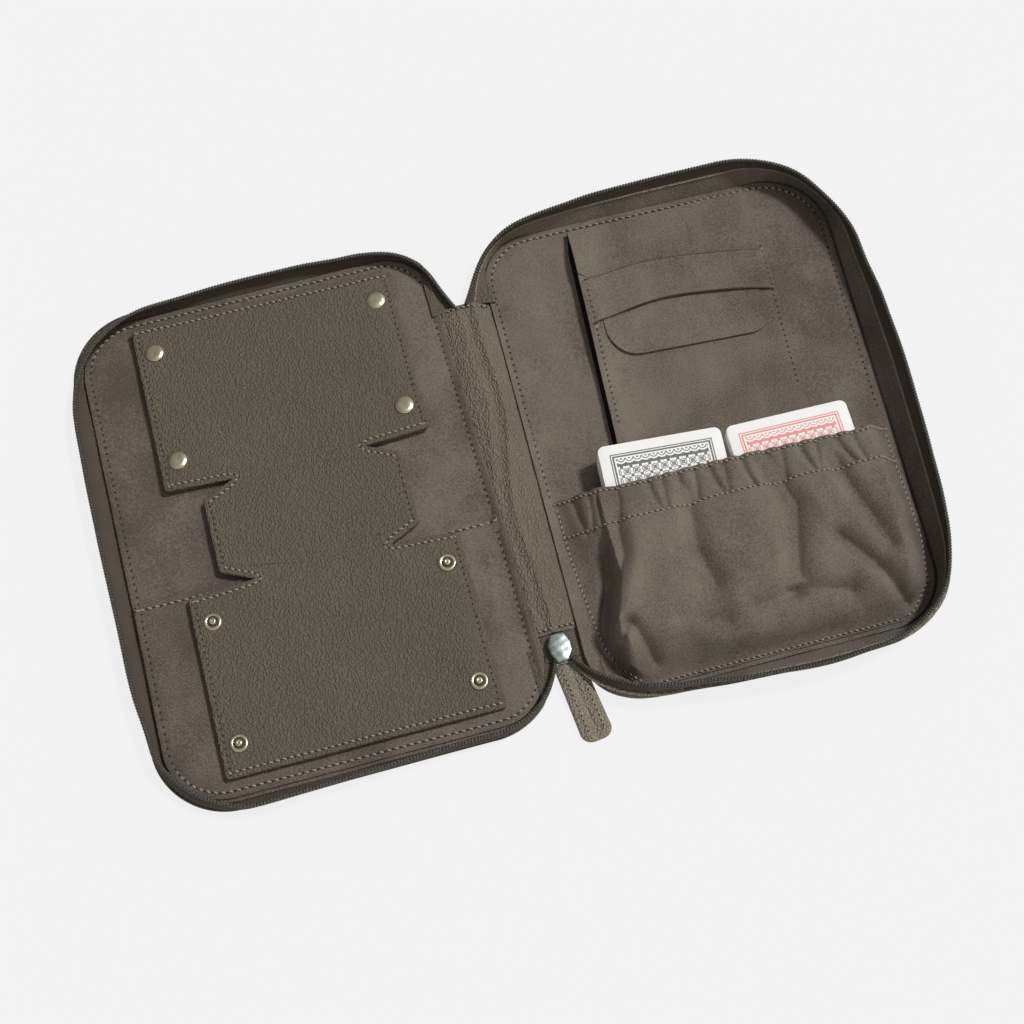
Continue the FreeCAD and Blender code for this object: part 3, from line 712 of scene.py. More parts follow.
def paint_suede(finish, colours):
    """Brushed suede: clouds of light and dark nap and fuzzy fibres, made paler towards the spine by a
    painted pool of light.
    """
    place = finish.object_place()
    x, _, _ = finish.split(place)
    # Painted light: a broad pool of light, brightest a little right of the spine, that lightens the nap.
    painted_light_pool = finish.ramp(abs(x + 0.07), 0.26, 0.0)
    clouds = finish.noise(place, 0.045, 2.0, 0.5, 0.3)
    strokes = finish.noise(finish.stretched(place, (1.0, 0.6, 1.0)), 0.016, 3.0, 0.6)
    fibres = finish.noise(place, 0.00095, 1.0, 0.5)
    nap = clouds * 0.5 + strokes * 0.42 + fibres * 0.7 + painted_light_pool * 0.2
    return finish.shade(Base_Color=finish.mix(finish.ramp(nap, 0.635, 1.215), tuple(colours.suede_dark),
                                              tuple(colours.suede)),
                        Roughness=0.95, Normal=finish.bump(fibres + strokes * 0.6, 0.0004, 0.8),
                        Sheen_Weight=0.05, Sheen_Roughness=0.6)


def fibrous(finish, colours, base, dark, light, size, detail, rough, bump=None):
    """Noise of a size between two shares of a base colour, with a bump of a distance and strength."""
    fibre = finish.noise(finish.object_place(), size, detail)
    tone = getattr(colours, base)
    relief = {"Normal": finish.bump(fibre, *bump)} if bump else {}
    return finish.shade(Base_Color=finish.mix(fibre, tinted(tone, dark), tinted(tone, light)),
                        Roughness=rough, **relief)


def paint_tape(finish, colours):
    """Woven tape: warp and weft threads over and under, along the strip's own coordinates."""
    along, across, _ = finish.split(finish.surface_place())
    warp = finish.add("ShaderNodeMath", {"operation": "SINE"}, {0: along * (2 * math.pi / 0.0009)})
    weft = finish.add("ShaderNodeMath", {"operation": "SINE"}, {0: across * (2 * math.pi / 0.0007)})
    weave = warp * weft * 0.5 + 0.5
    wear = finish.noise(finish.object_place(), 0.012, 3.0)
    light = tinted(colours.tape, 2.1)
    return finish.shade(Base_Color=finish.mix(weave * 0.45 + wear * 0.5, tuple(colours.tape), light),
                        Roughness=0.85, Normal=finish.bump(weave, 0.00012, 0.8))


def paint_coil(finish, colours):
    """Nylon coil: dark, with faint grey painted where the turns are polished, as painted glints, and a
    lower roughness there.
    """
    place = finish.object_place()
    polish_and_glint = finish.ramp(finish.noise(place, 0.0009, 1.0), 0.3, 0.75)
    # The lighter grey stands in for glints on the turns: a painted highlight.
    light = tinted(colours.coil, 2.4)
    return finish.shade(Base_Color=finish.mix(polish_and_glint, tuple(colours.coil), light),
                        Roughness=0.42 - polish_and_glint * 0.12, Normal=finish.bump(polish_and_glint, 0.00005, 0.4))


def plated(finish, colours, base, rough, scratch):
    """Plated metal with fine scratches and a slightly uneven polish."""
    place = finish.object_place()
    scratches = finish.noise(finish.stretched(place, (1.0, 0.12, 1.0)), 0.0006, 3.0, 0.6)
    cloud = finish.noise(place, 0.0028, 3.0, 0.65)
    tone = getattr(colours, base)
    return finish.shade(Base_Color=finish.mix(cloud, tinted(tone, 0.5), tuple(tone)), Metallic=1.0,
                        Roughness=rough + cloud * 0.12,
                        Normal=finish.bump(scratches + cloud, 0.00004, scratch))


def paint_board(finish, colours):
    """Stiffening board between the plies."""
    fibre = finish.noise(finish.object_place(), 0.002, 4.0)
    return finish.shade(Base_Color=finish.mix(fibre, (0.03, 0.025, 0.02), (0.05, 0.043, 0.035)),
                        Roughness=0.9)


# Print of the card backs, in millimetres.
FIELD_MARGIN = 8.2
ARCH_PITCH = 4.2
ARCH_BAND = 12.6
ROSETTE_PITCH = 4.8
LATTICE_LINE = 0.26


def card_back(finish, colours, node, ink):
    """A generic card back: white border, two frame lines, a row of arches and a field of small rosettes.

    The pattern is worked out in millimetres from the card's middle.
    """
    x, y, _ = finish.split(finish.object_place())
    _, wide, long, _ = deck_place(node)
    x, y = deck_local(node, x * (1 / MM), y * (1 / MM))
    from_side = wide - abs(x)
    from_end = long / 2 - abs(y)
    margin = finish.math("MINIMUM", from_side, from_end)
    line = (margin > 5.4) * (margin < 6.0) + (margin > 6.5) * (margin < 7.4)
    field = margin > FIELD_MARGIN

    def folded(value, pitch):
        """Distance from the nearest multiple of a pitch."""
        return finish.math("PINGPONG", value, pitch / 2)

    def radius(first, second):
        return finish.math("SQRT", first * first + second * second, 0.0)

    rosette = radius(folded(x, ROSETTE_PITCH), folded(y, ROSETTE_PITCH))
    middle = ROSETTE_PITCH / 2
    between = radius(middle - folded(x, ROSETTE_PITCH), middle - folded(y, ROSETTE_PITCH))
    rings = (rosette > 0.5) * (rosette < 1.0) + (rosette > 1.5) * (rosette < 1.85) + (between < 0.75)
    slant = folded(x + y, ROSETTE_PITCH) < LATTICE_LINE
    cross = folded(x - y, ROSETTE_PITCH) < LATTICE_LINE
    pattern = finish.math("MINIMUM", rings + slant + cross, 1.0) * field
    arches = radius(folded(x, ARCH_PITCH), from_end - FIELD_MARGIN)
    arcs = (arches > 1.6) * (arches < 2.1) + (arches < 0.7) + (arches > 3.0)
    band = (from_end < ARCH_BAND) * (from_end > FIELD_MARGIN) * arcs * field
    inked = finish.math("MINIMUM", pattern * (from_end > ARCH_BAND) + band + line, 1.0)
    grain = finish.noise(finish.object_place(), 0.0011, 2.0)
    print_strength = inked * (0.72 + grain * 0.3)
    stock = finish.mix(grain, tinted(colours.paper, 0.95), tuple(colours.paper))
    return finish.shade(Base_Color=finish.mix(print_strength, stock, tuple(getattr(colours, ink))),
                        Roughness=0.42 + grain * 0.1,
                        Normal=finish.bump(grain, 0.00002, 0.3))


# Each finish: what paints it, and with which values. Cells and fibres are in metres.
PAINTS = {
    "grain_leather": (grained, {"stretch": 0.72, "cell": 0.0011}),
    # The spine's leather is painted lighter than the covers' leather; part of that lightness is painted
    # light, the brighter light over the middle of the open case.
    "spine_leather": (grained, {"stretch": 0.65, "cell": 0.0011, "light": 1.42, "crease": 0.3,
                                "rough": 0.6}),
    "pull_leather": (grained, {"stretch": 0.8, "cell": 0.0012, "light": 1.95, "crease": 0.9, "rough": 0.48,
                               "Specular_IOR_Level": 0.45}),
    "suede": (paint_suede, {}),
    # Painted shadow under the wallet's raised left edge.
    "wallet_gap": (fibrous, {"base": "suede_dark", "dark": 0.12, "light": 0.25, "size": 0.001,
                             "detail": 2.0, "rough": 0.95}),
    "tape": (paint_tape, {}),
    "coil": (paint_coil, {}),
    "thread": (fibrous, {"base": "thread", "dark": 0.7, "light": 1.0, "size": 0.0005, "detail": 2.0,
                         "rough": 0.55, "bump": (0.00008, 0.6)}),
    # Painted shade in the needle holes; it also colours the dark parts of the zip's ends.
    "needle_hole": (fibrous, {"base": "suede_dark", "dark": 0.32, "light": 0.6, "size": 0.001,
                              "detail": 1.0, "rough": 0.9}),
    # Painted shade: the dark lines along the strap's slits and the grooves inside the snap posts.
    "cut_edge": (fibrous, {"base": "suede_dark", "dark": 0.55, "light": 1.0, "size": 0.0008, "detail": 3.0,
                           "rough": 0.9, "bump": (0.0001, 0.6)}),
    "snap_metal": (plated, {"base": "snap", "rough": 0.2, "scratch": 0.4}),
    "slider_metal": (plated, {"base": "slider", "rough": 0.34, "scratch": 1.0}),
    "board": (paint_board, {}),
    "card_slate": (card_back, {"node": "deck_black", "ink": "slate_ink"}),
    "card_red": (card_back, {"node": "deck_red", "ink": "red_ink"}),
}


def finishes(*names):
    """Materials by name, each painted the first time that it is asked for."""
    found = []
    for name in names:
        material = bpy.data.materials.get("case_" + name)
        if material is None:
            paint, values = PAINTS[name]
            material = paint(Finish("case_" + name), bpy.context.scene.case_colours, **values)
        found.append(material)
    return found


def dress(nodes, finish):
    """Give CAD nodes that stay in view a finish."""
    for node in nodes:
        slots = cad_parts[node].data.materials
        slots.clear()
        slots.append(finishes(finish)[0])


def seam(name, paths, slot, **style):
    """One object with the stitches of several rows, all in one style."""
    shape = Shape()
    for path in paths:
        sew(shape, path, **style)
    return shape.solid(name, finishes("thread", "needle_hole"))


# Pieces of the case

# Shares of a wall's height where the outer leather ends, the welt above it with its rounding, the walls'
# outward bulge, the covers' own swell, and the share of a wall's lean at which its foot turns in.
LEATHER_SHARE = {"right": 0.56, "left": 0.16}
WELT_SHARE = 0.06
WELT_ROUND = 0.55
WELT_THICKNESS = 2.4
GUSSET_THICKNESS = 0.8
WALL_BULGE = {"right": 0.8, "left": 1.6}
COVER_SWELL = 0.8
FOOT_SHARE = 0.2


class CASE_OT_covers(bpy.types.Operator):
    """Outer leather of both halves: base, rounded foot and wall in one skin"""

    bl_idname = "case.covers"
    bl_label = "Outer covers"

    def execute(self, context):
        size = sizes()
        for half, share in LEATHER_SHARE.items():
            edge, rim, outward = wall_paths(half)
            out = outward * (size["wall_thickness"] + WALL_BULGE[half])
            foot = (edge * (1 - FOOT_SHARE) + rim * FOOT_SHARE + out)[:, :2]
            inside = -SPINE_SIDE[half]
            foot[:, 0] = inside * np.maximum(inside * foot[:, 0], inside * CREASES[half])
            top = edge * (1 - share) + rim * share + out
            turn = size["foot_round"]
            low = lifted(foot, turn)
            wall = [low + (top - low) * t + outward * COVER_SWELL * math.sin(math.pi * t)
                    for t in np.linspace(1, 0, 8)]
            foot_out = sideways(lifted(foot, 0)) * inside
            bend = [lifted(foot, turn - turn * math.sin(a)) - foot_out * turn * (1 - math.cos(a))
                    for a in np.linspace(0, math.pi / 2, 7)[1:]]
            pole = np.array([CREASES[half], 0.0, 0.0])
            base = [bend[-1] + (pole - bend[-1]) * t for t in np.linspace(0, 1, 7)[1:]]
            outer = np.stack(wall + bend + base, axis=1)
            inset = np.concatenate([np.ones(8), np.linspace(1, 0, 6), np.zeros(6)])
            raised = 1 - inset
            inner = outer - outward[:, None] * inset[None, :, None] * size["wall_thickness"]
            inner[..., 2] += raised[None] * size["wall_thickness"]
            shape = Shape()
            shape.grid(np.concatenate([outer, inner[:, ::-1]], axis=1), wrap=True, caps=True)
            cover = shape.solid(half + "_outer_cover", finishes("grain_leather"),
                                [half + "_cover"])
            fold_with(cover, half, 0.0, OUTER_FOLD)
        dress(["right_board", "left_board"], "board")
        return {"FINISHED"}


class CASE_OT_walls(bpy.types.Operator):
    """Suede gusset, welt and zip tapes: the soft walls between the linings and the coils"""

    bl_idname = "case.walls"
    bl_label = "Soft walls"

    def execute(self, context):
        size = sizes()
        welt = LEATHER_SHARE["right"]
        welt_top = welt + WELT_SHARE
        bands = (("right_gusset_wall", "right", 0.0, welt, "suede", "suede", "right_gusset",
                  GUSSET_THICKNESS),
                 ("right_tape_wall", "right", welt_top, 1.0, "tape", "zip_tape", "right_zip_tape",
                  size["tape_thickness"]),
                 ("left_tape_wall", "left", 0.0, 1.0, "tape", "zip_tape", "left_zip_tape",
                  size["tape_thickness"]))
        for name, half, low, high, finish, slot, node, thickness in bands:
            grid, outward = wall_grid(half, low, high, WALL_BULGE[half])
            shape = Shape()
            shape.band(grid, outward, thickness)
            piece = shape.solid(name, finishes(finish), [node])
            fold_with(piece, half, ZIP_FOLD_INSIDE, ZIP_FOLD[half])
        # The welt is given the much lighter pull leather: a painted highlight along the gusset's top edge.
        grid, outward = wall_grid("right", welt, welt_top, WALL_BULGE["right"], 5)
        rounding = np.sin(np.linspace(0, math.pi, 5)) * WELT_ROUND
        grid = grid - outward[:, None] * rounding[None, :, None]
        shape = Shape()
        shape.band(grid, outward, WELT_THICKNESS)
        edge = shape.solid("right_welt_edge", finishes("pull_leather"), ["right_welt"])
        fold_with(edge, "right", ZIP_FOLD_INSIDE, ZIP_FOLD["right"])
        return {"FINISHED"}


# The zip's ends on the spine: half width of the lower strip, end of the upper one, the dark middle's share
# of both and their fall to the sides. The coils' ends lie apart, from one distance before a strip's end to
# another, sunk at the upper end. A dark patch of painted shade lies under the gap at the spine's upper end.
LOWER_STRIP = 13.5
UPPER_STRIP_END = 93.0
DARK_STRIP_SHARE = 0.55
STRIP_FALL = 2.4
COIL_END_APART = 1.35
COIL_END_FROM = 11.0
COIL_END_TO = 5.5
COIL_END_SINK = 2.6
GAP_PATCH_X = np.linspace(-101.0, -93.3, 5)
GAP_PATCH_Y = np.linspace(86.0, 99.0, 5)
GAP_PATCH_Z = 2.2


def coil_rows(shape, path):
    """Add a row of zip coil along a path: a rounded bar whose turns swell once every pitch."""
    size = sizes()
    path = resampled(path, size["coil_pitch"] / 6)
    run = travel(path)
    swell = np.abs(np.cos(np.pi * run / size["coil_pitch"])) ** 0.7
    angle = np.linspace(0, 2 * np.pi, 12, endpoint=False)
    wide = np.sign(np.cos(angle)) * np.abs(np.cos(angle)) ** 0.7 * size["coil_width"] / 2
    high = np.sign(np.sin(angle)) * np.abs(np.sin(angle)) ** 0.7 * size["coil_height"] / 2
    side = sideways(path)
    scale = (0.52 + 0.48 * swell)[:, None, None]
    grid = path[:, None] + scale * (side[:, None] * wide[None, :, None] + UP * high[None, :, None])
    shape.grid(grid, wrap=True, caps=True)


class CASE_OT_zip(bpy.types.Operator):
    """Both rows of zip coil, and the ends of the zip on the spine"""

    bl_idname = "case.zip"
    bl_label = "Zip"

    def execute(self, context):
        size = sizes()
        for half in HALVES:
            _, rim, _ = wall_paths(half)
            shape = Shape()
            coil_rows(shape, rim + UP * size["coil_height"] / 2)
            coil = shape.solid(half + "_coil_row", finishes("coil"), [half + "_zip_coil"])
            fold_with(coil, half, ZIP_FOLD_INSIDE, ZIP_FOLD[half])
        tapes = Shape()
        coils = Shape()
        low, high = corner_boxes("zip_end_tapes")
        for sign, reach, half_width in ((-1, high[1], LOWER_STRIP),
                                        (1, UPPER_STRIP_END, (high[0] - low[0]) / 2)):
            y = sign * np.linspace(SPINE_END - 7.0, reach, 12)
            x = SPINE_X + np.linspace(-half_width, half_width, 21)
            plan_x, plan_y = np.meshgrid(x, y)
            fall = STRIP_FALL * ((plan_x - SPINE_X) / half_width) ** 2
            height = ZIP_END_Z - size["coil_height"] - 0.1 - fall
            tapes.slab(np.stack([plan_x, plan_y, height], axis=-1), 0.6)
            narrow_x = SPINE_X + (plan_x - SPINE_X) * DARK_STRIP_SHARE
            tapes.slab(np.stack([narrow_x, plan_y, height + 0.25], axis=-1), 0.2, material=1)
            z = ZIP_END_Z - size["coil_height"] / 2 - (COIL_END_SINK if sign > 0 else 0.0)
            for x in (SPINE_X - COIL_END_APART, SPINE_X + COIL_END_APART):
                coil_rows(coils, np.array([[x, sign * (reach - COIL_END_FROM), z],
                                           [x, sign * (reach - COIL_END_TO), z]]))
        # The patch is painted shade: a dark sheet under the gap, standing in for the shade in it.
        patch_x, patch_y = np.meshgrid(GAP_PATCH_X, GAP_PATCH_Y, indexing="ij")
        patch_z = np.full(patch_x.shape, GAP_PATCH_Z)
        tapes.slab(np.stack([patch_x, patch_y, patch_z], axis=-1), 0.4, material=1)
        strips = tapes.solid("zip_end_strips", finishes("grain_leather", "needle_hole"),
                             ["zip_end_tapes"])
        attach(strips, "spine")
        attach(coils.solid("zip_end_rows", finishes("coil"), ["zip_end_coils"]), "spine")
        return {"FINISHED"}


# How high the linings' edges lie over the spine's leather, and where they start to climb to it.
LINING_OVER_SPINE = {"right": 1.7, "left": 0.95}
LINING_CLIMB_START = 5.0
LINING_CLIMB = 7.0


def lining_relief(half):
    """Height over the flat floor: the lining climbs the spine's shoulder and ripples softly."""
    start = CREASES[half] - SPINE_SIDE[half] * LINING_CLIMB_START

    def relief(x, y):
        climb = smooth(SPINE_SIDE[half] * (x - start) / LINING_CLIMB)
        over = np.maximum(spine_z(x, y) + LINING_OVER_SPINE[half] - FLOOR_Z, 0.0)
        soft = ripple(x, y, [(0.18, 61, 20, 0.4), (0.14, 43, 105, 1.3), (0.1, 29, 62, 2.2)])
        return climb * over + soft * (1 - climb)

    return relief


# Section of a lining's sewn edge as (inset, height), and the lowest place of its seam, above the pockets.
LINING_PROFILE = [(0.6, -0.8), (0.15, -0.7), (0.0, -0.4), (0.2, -0.1), (0.8, 0.0), (2.6, 0.0), (3.6, -0.15),
                  (4.6, 0.0), (9.0, 0.0)]
LINING_SEAM_LOW = -20.0
SEAM_SINK = 0.12


def lining_outline(half):
    """Anticlockwise outline of a lining, whose spine side runs straight from end to end."""
    corners, radii = EDGE_PLAN[half]
    outline = rounded_path(corners[1:-1], radii[1:-1], closed=True, straight=40, bend=24)
    return outline if half == "right" else outline[::-1]


class CASE_OT_linings(bpy.types.Operator):
    """Suede floors of both halves, sewn round their edges"""

    bl_idname = "case.linings"
    bl_label = "Linings"

    def execute(self, context):
        inset = sizes()["seam_inset"]
        for half in HALVES:
            outline = lining_outline(half)
            relief = lining_relief(half)
            profile = [(d, FLOOR_Z + h) for d, h in LINING_PROFILE]
            shape = Shape()
            shape.pad(outline, profile, rings=40, relief=relief)
            lining = shape.solid(half + "_suede_floor", finishes("suede"), [half + "_lining"])
            fold_with(lining, half)
            row = drawn_in(outline, inset)
            lowest = np.argmin(np.hypot(row[:, 0] - np.mean(row[:, 0]), row[:, 1] - np.min(row[:, 1])))
            row = lifted(np.roll(row, -lowest, axis=0), FLOOR_Z - SEAM_SINK)
            row = row[row[:, 1] > LINING_SEAM_LOW]
            row[:, 2] += relief(row[:, 0], row[:, 1])
            fold_with(seam(half + "_lining_seam", [row], "suede"), half)
        return {"FINISHED"}


# How far the spine's plies reach under the halves, and heights of their edges.
INNER_OVERLAP = 5.0
INNER_DEPTH = 1.1
OUTER_OVERLAP = 6.5
OUTER_EDGE_Z = 1.3
OUTER_TOP_END = 94.0
# Ridges along the spine: height, distance to the left of the middle one, and width.
SPINE_RIDGES = ((0.95, 0.0, 2.0), (-0.4, 4.6, 2.4), (0.3, 8.5, 2.0))


class CASE_OT_spine(bpy.types.Operator):
    """Inner and outer leather of the spine, each in two halves that meet along its middle"""

    bl_idname = "case.spine"
    bl_label = "Spine"

    def execute(self, context):
        share = np.linspace(0, 1, 161)
        end_fall = 0.8 * np.abs(2 * share - 1) ** 14
        for half, crease in CREASES.items():
            x = np.linspace(SPINE_X, crease - SPINE_SIDE[half] * INNER_OVERLAP, 41)
            plan_share, plan_x = np.meshgrid(share, x, indexing="ij")
            plan_y = SPINE_LOW_END + plan_share * (spine_top_end(plan_x) - SPINE_LOW_END)
            arch = spine_z(plan_x, plan_y)
            wrinkle = ripple(plan_x, plan_y, [(0.04, 4.3, 8, 0.3), (0.04, 6.1, -14, 1.9),
                                              (0.08, 11.0, 21, 0.8), (0.1, 17.0, 68, 0.2)])
            aside = plan_x - spine_ridge(plan_y)
            for tall, shift, width in SPINE_RIDGES:
                wrinkle = wrinkle + tall * np.exp(-((aside + shift) / width) ** 2)
            flat = FLOOR_Z - INNER_DEPTH
            height = np.maximum(arch, flat) + wrinkle * smooth((arch - flat) / 2.0)
            height = height - end_fall[:, None]
            shape = Shape()
            shape.slab(np.stack([plan_x, plan_y, height], axis=-1), 1.0)
            inner = shape.solid("spine_inner_" + half, finishes("spine_leather"),
                                ["spine_lining"] if half == "right" else [])
            fold_with(inner, half)
            x = np.linspace(SPINE_X, crease - SPINE_SIDE[half] * OUTER_OVERLAP, 31)
            y = np.linspace(SPINE_LOW_END - 8.0, OUTER_TOP_END, 161)
            plan_y, plan_x = np.meshgrid(y, x, indexing="ij")
            across = (plan_x - SPINE_X) / (crease - SPINE_X)
            height = OUTER_EDGE_Z + (SPINE_HIGH[2] - OUTER_EDGE_Z) * np.clip(1 - across ** 2, 0, 1)
            shape = Shape()
            shape.slab(np.stack([plan_x, plan_y, height], axis=-1), 1.2)
            outer = shape.solid("spine_outer_" + half, finishes("grain_leather"),
                                ["spine_cover"] if half == "right" else [])
            fold_with(outer, half, 0.0, OUTER_FOLD)
        stitches = []
        x = np.linspace(SPINE_X - 8.5, SPINE_X + 10.5, 30)
        for y in (spine_top_end(x) - 2.0, np.full(len(x), SPINE_LOW_END + 2.2)):
            stitches.append(np.stack([x, y, spine_z(x, y) - 0.2], axis=1))
        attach(seam("spine_end_seams", stitches, "grain_leather", yaw=30.0, size=0.8), "spine")
        return {"FINISHED"}


# The patch pocket: its left side, the lower and upper end of its right side, how far it goes past its CAD
# part below and short of it above, its edge's section as (inset, height), and the height of its seam.
PATCH_LEFT = -309.5
PATCH_RIGHT = (-121.0, -120.6)
PATCH_PAST = 1.5
PATCH_SHORT = 2.0
PATCH_PROFILE = [(0.5, -0.1), (0.1, 0.2), (0.0, 0.6), (0.2, 1.0), (0.7, 1.15), (2.4, 1.15), (3.2, 1.0),
                 (4.2, 1.15), (8.0, 1.15)]
PATCH_SEAM_Z = 1.03


class CASE_OT_patch_pocket(bpy.types.Operator):
    """Flat suede pocket across the lower part of the left half"""

    bl_idname = "case.patch_pocket"
    bl_label = "Patch pocket"

    def execute(self, context):
        low, high = corner_boxes("left_patch_pocket")
        relief = lining_relief("left")
        foot = low[1] - PATCH_PAST
        hem = high[1] - PATCH_SHORT
        corners = [(PATCH_LEFT, foot), (PATCH_RIGHT[0], foot), (PATCH_RIGHT[1], hem), (PATCH_LEFT, hem)]
        outline = rounded_path(corners, [30.0, 26.0, 1.5, 1.5], closed=True, straight=40, bend=20)
        profile = [(d, FLOOR_Z + h) for d, h in PATCH_PROFILE]
        shape = Shape()
        shape.pad(outline, profile, rings=30, relief=relief)
        pocket = shape.solid("patch_pocket", finishes("suede"), ["left_patch_pocket"])
        fold_with(pocket, "left")
        inset = sizes()["seam_inset"] - 0.4
        row = drawn_in(outline, inset)
        row = lifted(np.concatenate([row, row[:1]]), FLOOR_Z + PATCH_SEAM_Z)
        row[:, 2] += relief(row[:, 0], row[:, 1])
        fold_with(seam("patch_pocket_seam", [row], "suede"), "left")
        (corners[1][0] - corners[0][0]) * MM
        (high[1] - low[1] - 0.5) * MM
        return {"FINISHED"}


# Dice cup: half length of a fold, depth of the notch beside it, half height of an ear and the seam's inset.
CUP_FOLD = 35.0
CUP_NOTCH = 1.9
CUP_EAR = 20.0
CUP_SEAM_INSET = 2.9


class CASE_OT_dice_cup(bpy.types.Operator):
    """Flat leather blank of the dice cup: two panels joined to a waist that is the cup's floor"""

    bl_idname = "case.dice_cup"
    bl_label = "Dice cup"

    def execute(self, context):
        low, high = corner_boxes("cup_upper_face", "cup_lower_face")
        middle = (low + high) / 2
        face_z = high[2]
        back_z = corner_boxes("cup_waist_backing")[0][2]
        waist_low, waist_high = corner_boxes("cup_waist_face")
        crease = (waist_high[1] - waist_low[1]) / 2
        panel = (high[0] - low[0]) / 2
        ear = (waist_high[0] - waist_low[0]) / 2
        far = (high[1] - low[1]) / 2
        notch = crease + CUP_NOTCH
        for name, sign in (("upper", 1), ("lower", -1)):
            corners = [(-ear, 0), (ear, 0), (ear, CUP_EAR), (CUP_FOLD, crease), (panel, notch),
                       (panel, far), (-panel, far), (-panel, notch), (-CUP_FOLD, crease), (-ear, CUP_EAR)]
            radii = [0, 0, 2.0, 0, 1.6, 1.8, 1.8, 1.6, 0, 2.0]
            flat = rounded_path(corners, radii, closed=True, straight=26, bend=6)
            outline = flat * [1, sign] + middle[:2]
            outline = outline if sign > 0 else outline[::-1]
            seat = face_z - back_z
            profile = [(0.5, back_z), (0.1, back_z + 0.25), (0.0, back_z + 0.5 * seat - 0.15),
                       (0.25, back_z + 0.5 * seat), (0.0, back_z + 0.5 * seat + 0.15), (0.05, face_z - 0.5),
                       (0.3, face_z - 0.15), (0.8, face_z), (2.0, face_z), (2.9, face_z - 0.18),
                       (3.8, face_z)]
            free = (np.abs(outline[:, 1] - middle[1]) > 0.01).astype(float)

            def relief(x, y):
                """Soft unevenness of a leather panel, whose right edge sinks towards the lining."""
                inside = smooth((np.abs(y - middle[1]) - crease - 6.0) / 14.0)
                sink = smooth((x - middle[0] - panel + 11.0) / 11.0)
                soft = ripple(x, y, [(0.18, 58, 15, 0.9), (0.16, 41, 100, 0.2), (0.12, 27, 55, 2.6)])
                return smooth(np.abs(y - middle[1]) / 8.0) * soft - 1.3 * inside * sink

            shape = Shape()
            shape.pad(outline, profile, centre=middle[:2] + [0, sign * crease], rings=26, relief=relief,
                      under=3, free=free)
            replaced = ["cup_%s_face" % name, "cup_%s_backing" % name]
            replaced += ["cup_waist_face", "cup_waist_backing"] if sign > 0 else []
            blank = shape.solid("dice_cup_" + name, finishes("grain_leather", "suede"),
                                replaced)
            fold_y = middle[1] + sign * crease
            start = (0, (fold_y - sign * 1.2) * MM, 0)
            end = (0, (fold_y + sign * 1.8) * MM, 0)
            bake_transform(blank)
            row = lifted(drawn_in(outline, CUP_SEAM_INSET), face_z - SEAM_SINK)[free > 0]
            row[:, 2] += relief(row[:, 0], row[:, 1])
            stitched = seam("dice_cup_%s_seam" % name, [row], "grain_leather", size=0.9)
            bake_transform(stitched)
        return {"FINISHED"}


# Sections of the snaps as (radius, height over the leather), and their outer radii.
CAP_SECTION = [(0, 1.32), (1.5, 1.31), (2.9, 1.26), (3.4, 1.19), (4.35, 0.9), (4.8, 0.66), (5.05, 0.4),
               (5.1, 0.2), (5.0, 0.0), (1.5, -0.1), (1.5, -3.0), (0, -3.0)]
POST_SECTION = [(0, 1.9), (0.5, 1.9), (0.9, 2.05), (1.3, 2.02), (1.65, 1.8), (1.8, 1.55), (1.75, 1.32),
                (1.6, 1.15), (1.6, 0.6), (1.9, 0.5), (2.6, 0.5), (2.75, 0.7), (2.9, 0.98), (3.3, 1.12),
                (3.9, 1.14), (4.3, 1.0), (4.6, 0.6), (4.7, 0.3), (4.65, 0.0), (1.5, -0.1), (1.5, -1.0),
                (0, -1.0)]
GROOVE_SECTION = [(0, 0.66), (2.7, 0.66), (2.7, 0.3), (0, 0.3)]
SNAP_RADII = {"snap_caps": 5.1, "snap_posts": 4.7}


def four_places(node, z):
    """Middles of the four snaps of one node."""
    low, high = corner_boxes(node)
    low = low + SNAP_RADII[node]
    high = high - SNAP_RADII[node]
    return [np.array([x, y, z]) for x in (low[0], high[0]) for y in (low[1], high[1])]


class CASE_OT_snaps(bpy.types.Operator):
    """Caps and posts of the cup's snaps as turned metal, with the hidden sockets and backs dressed alike"""

    bl_idname = "case.snaps"
    bl_label = "Snaps"

    def execute(self, context):
        face_z = corner_boxes("cup_upper_face")[1][2]
        caps = Shape()
        caps.lathe(CAP_SECTION, four_places("snap_caps", face_z))
        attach(caps.solid("cup_caps", finishes("snap_metal"), ["snap_caps"]), "cup_upper")
        posts = Shape()
        posts.lathe(POST_SECTION, four_places("snap_posts", face_z))
        # The groove inside each post's ring is a dark disc of painted shade.
        posts.lathe(GROOVE_SECTION, four_places("snap_posts", face_z), material=1)
        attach(posts.solid("cup_posts", finishes("snap_metal", "cut_edge"), ["snap_posts"]),
                "cup_lower")
        dress(["snap_sockets", "snap_post_backs", "lining_snap_posts"], "snap_metal")
        return {"FINISHED"}


# Wallet: its lean and the line about which it leans, its top, its plies, the end of the flat part that the
# decks slide over, and the flap's tongue with its sides, rounded corners and the shoulders above them.
WALLET_LEAN = 0.07
WALLET_HINGE_Y = 60.0
WALLET_TOP = 125.3
WALLET_PLY = 0.75
WALLET_FLAT_END = 43.0
TONGUE_TIP = 45.5
TONGUE_LEFT = -40.5
TONGUE_RIGHT = 45.0
TONGUE_ROUND = {"left": 17.0, "right": 9.0}
FLAP_SHOULDER = {"left": 92.0, "right": 70.0}
# The strap's two slits as curves of y over x, and dents as (x, y, depth, width).
SLIT_LOW = np.polyfit((-40.0, 5.0, 30.0, 51.0), (69.0, 72.6, 69.0, 64.5), 3)
SLIT_HIGH = np.polyfit((-41.0, -20.0, 0.0, 38.0, 58.0), (93.5, 96.0, 96.0, 89.8, 86.0), 3)
WALLET_DENTS = ((-24.0, 107.0, 1.0, 9.0), (-26.0, 81.0, 0.7, 8.0), (-18.0, 62.0, 0.8, 9.0),
                (22.0, 100.0, 0.5, 12.0))


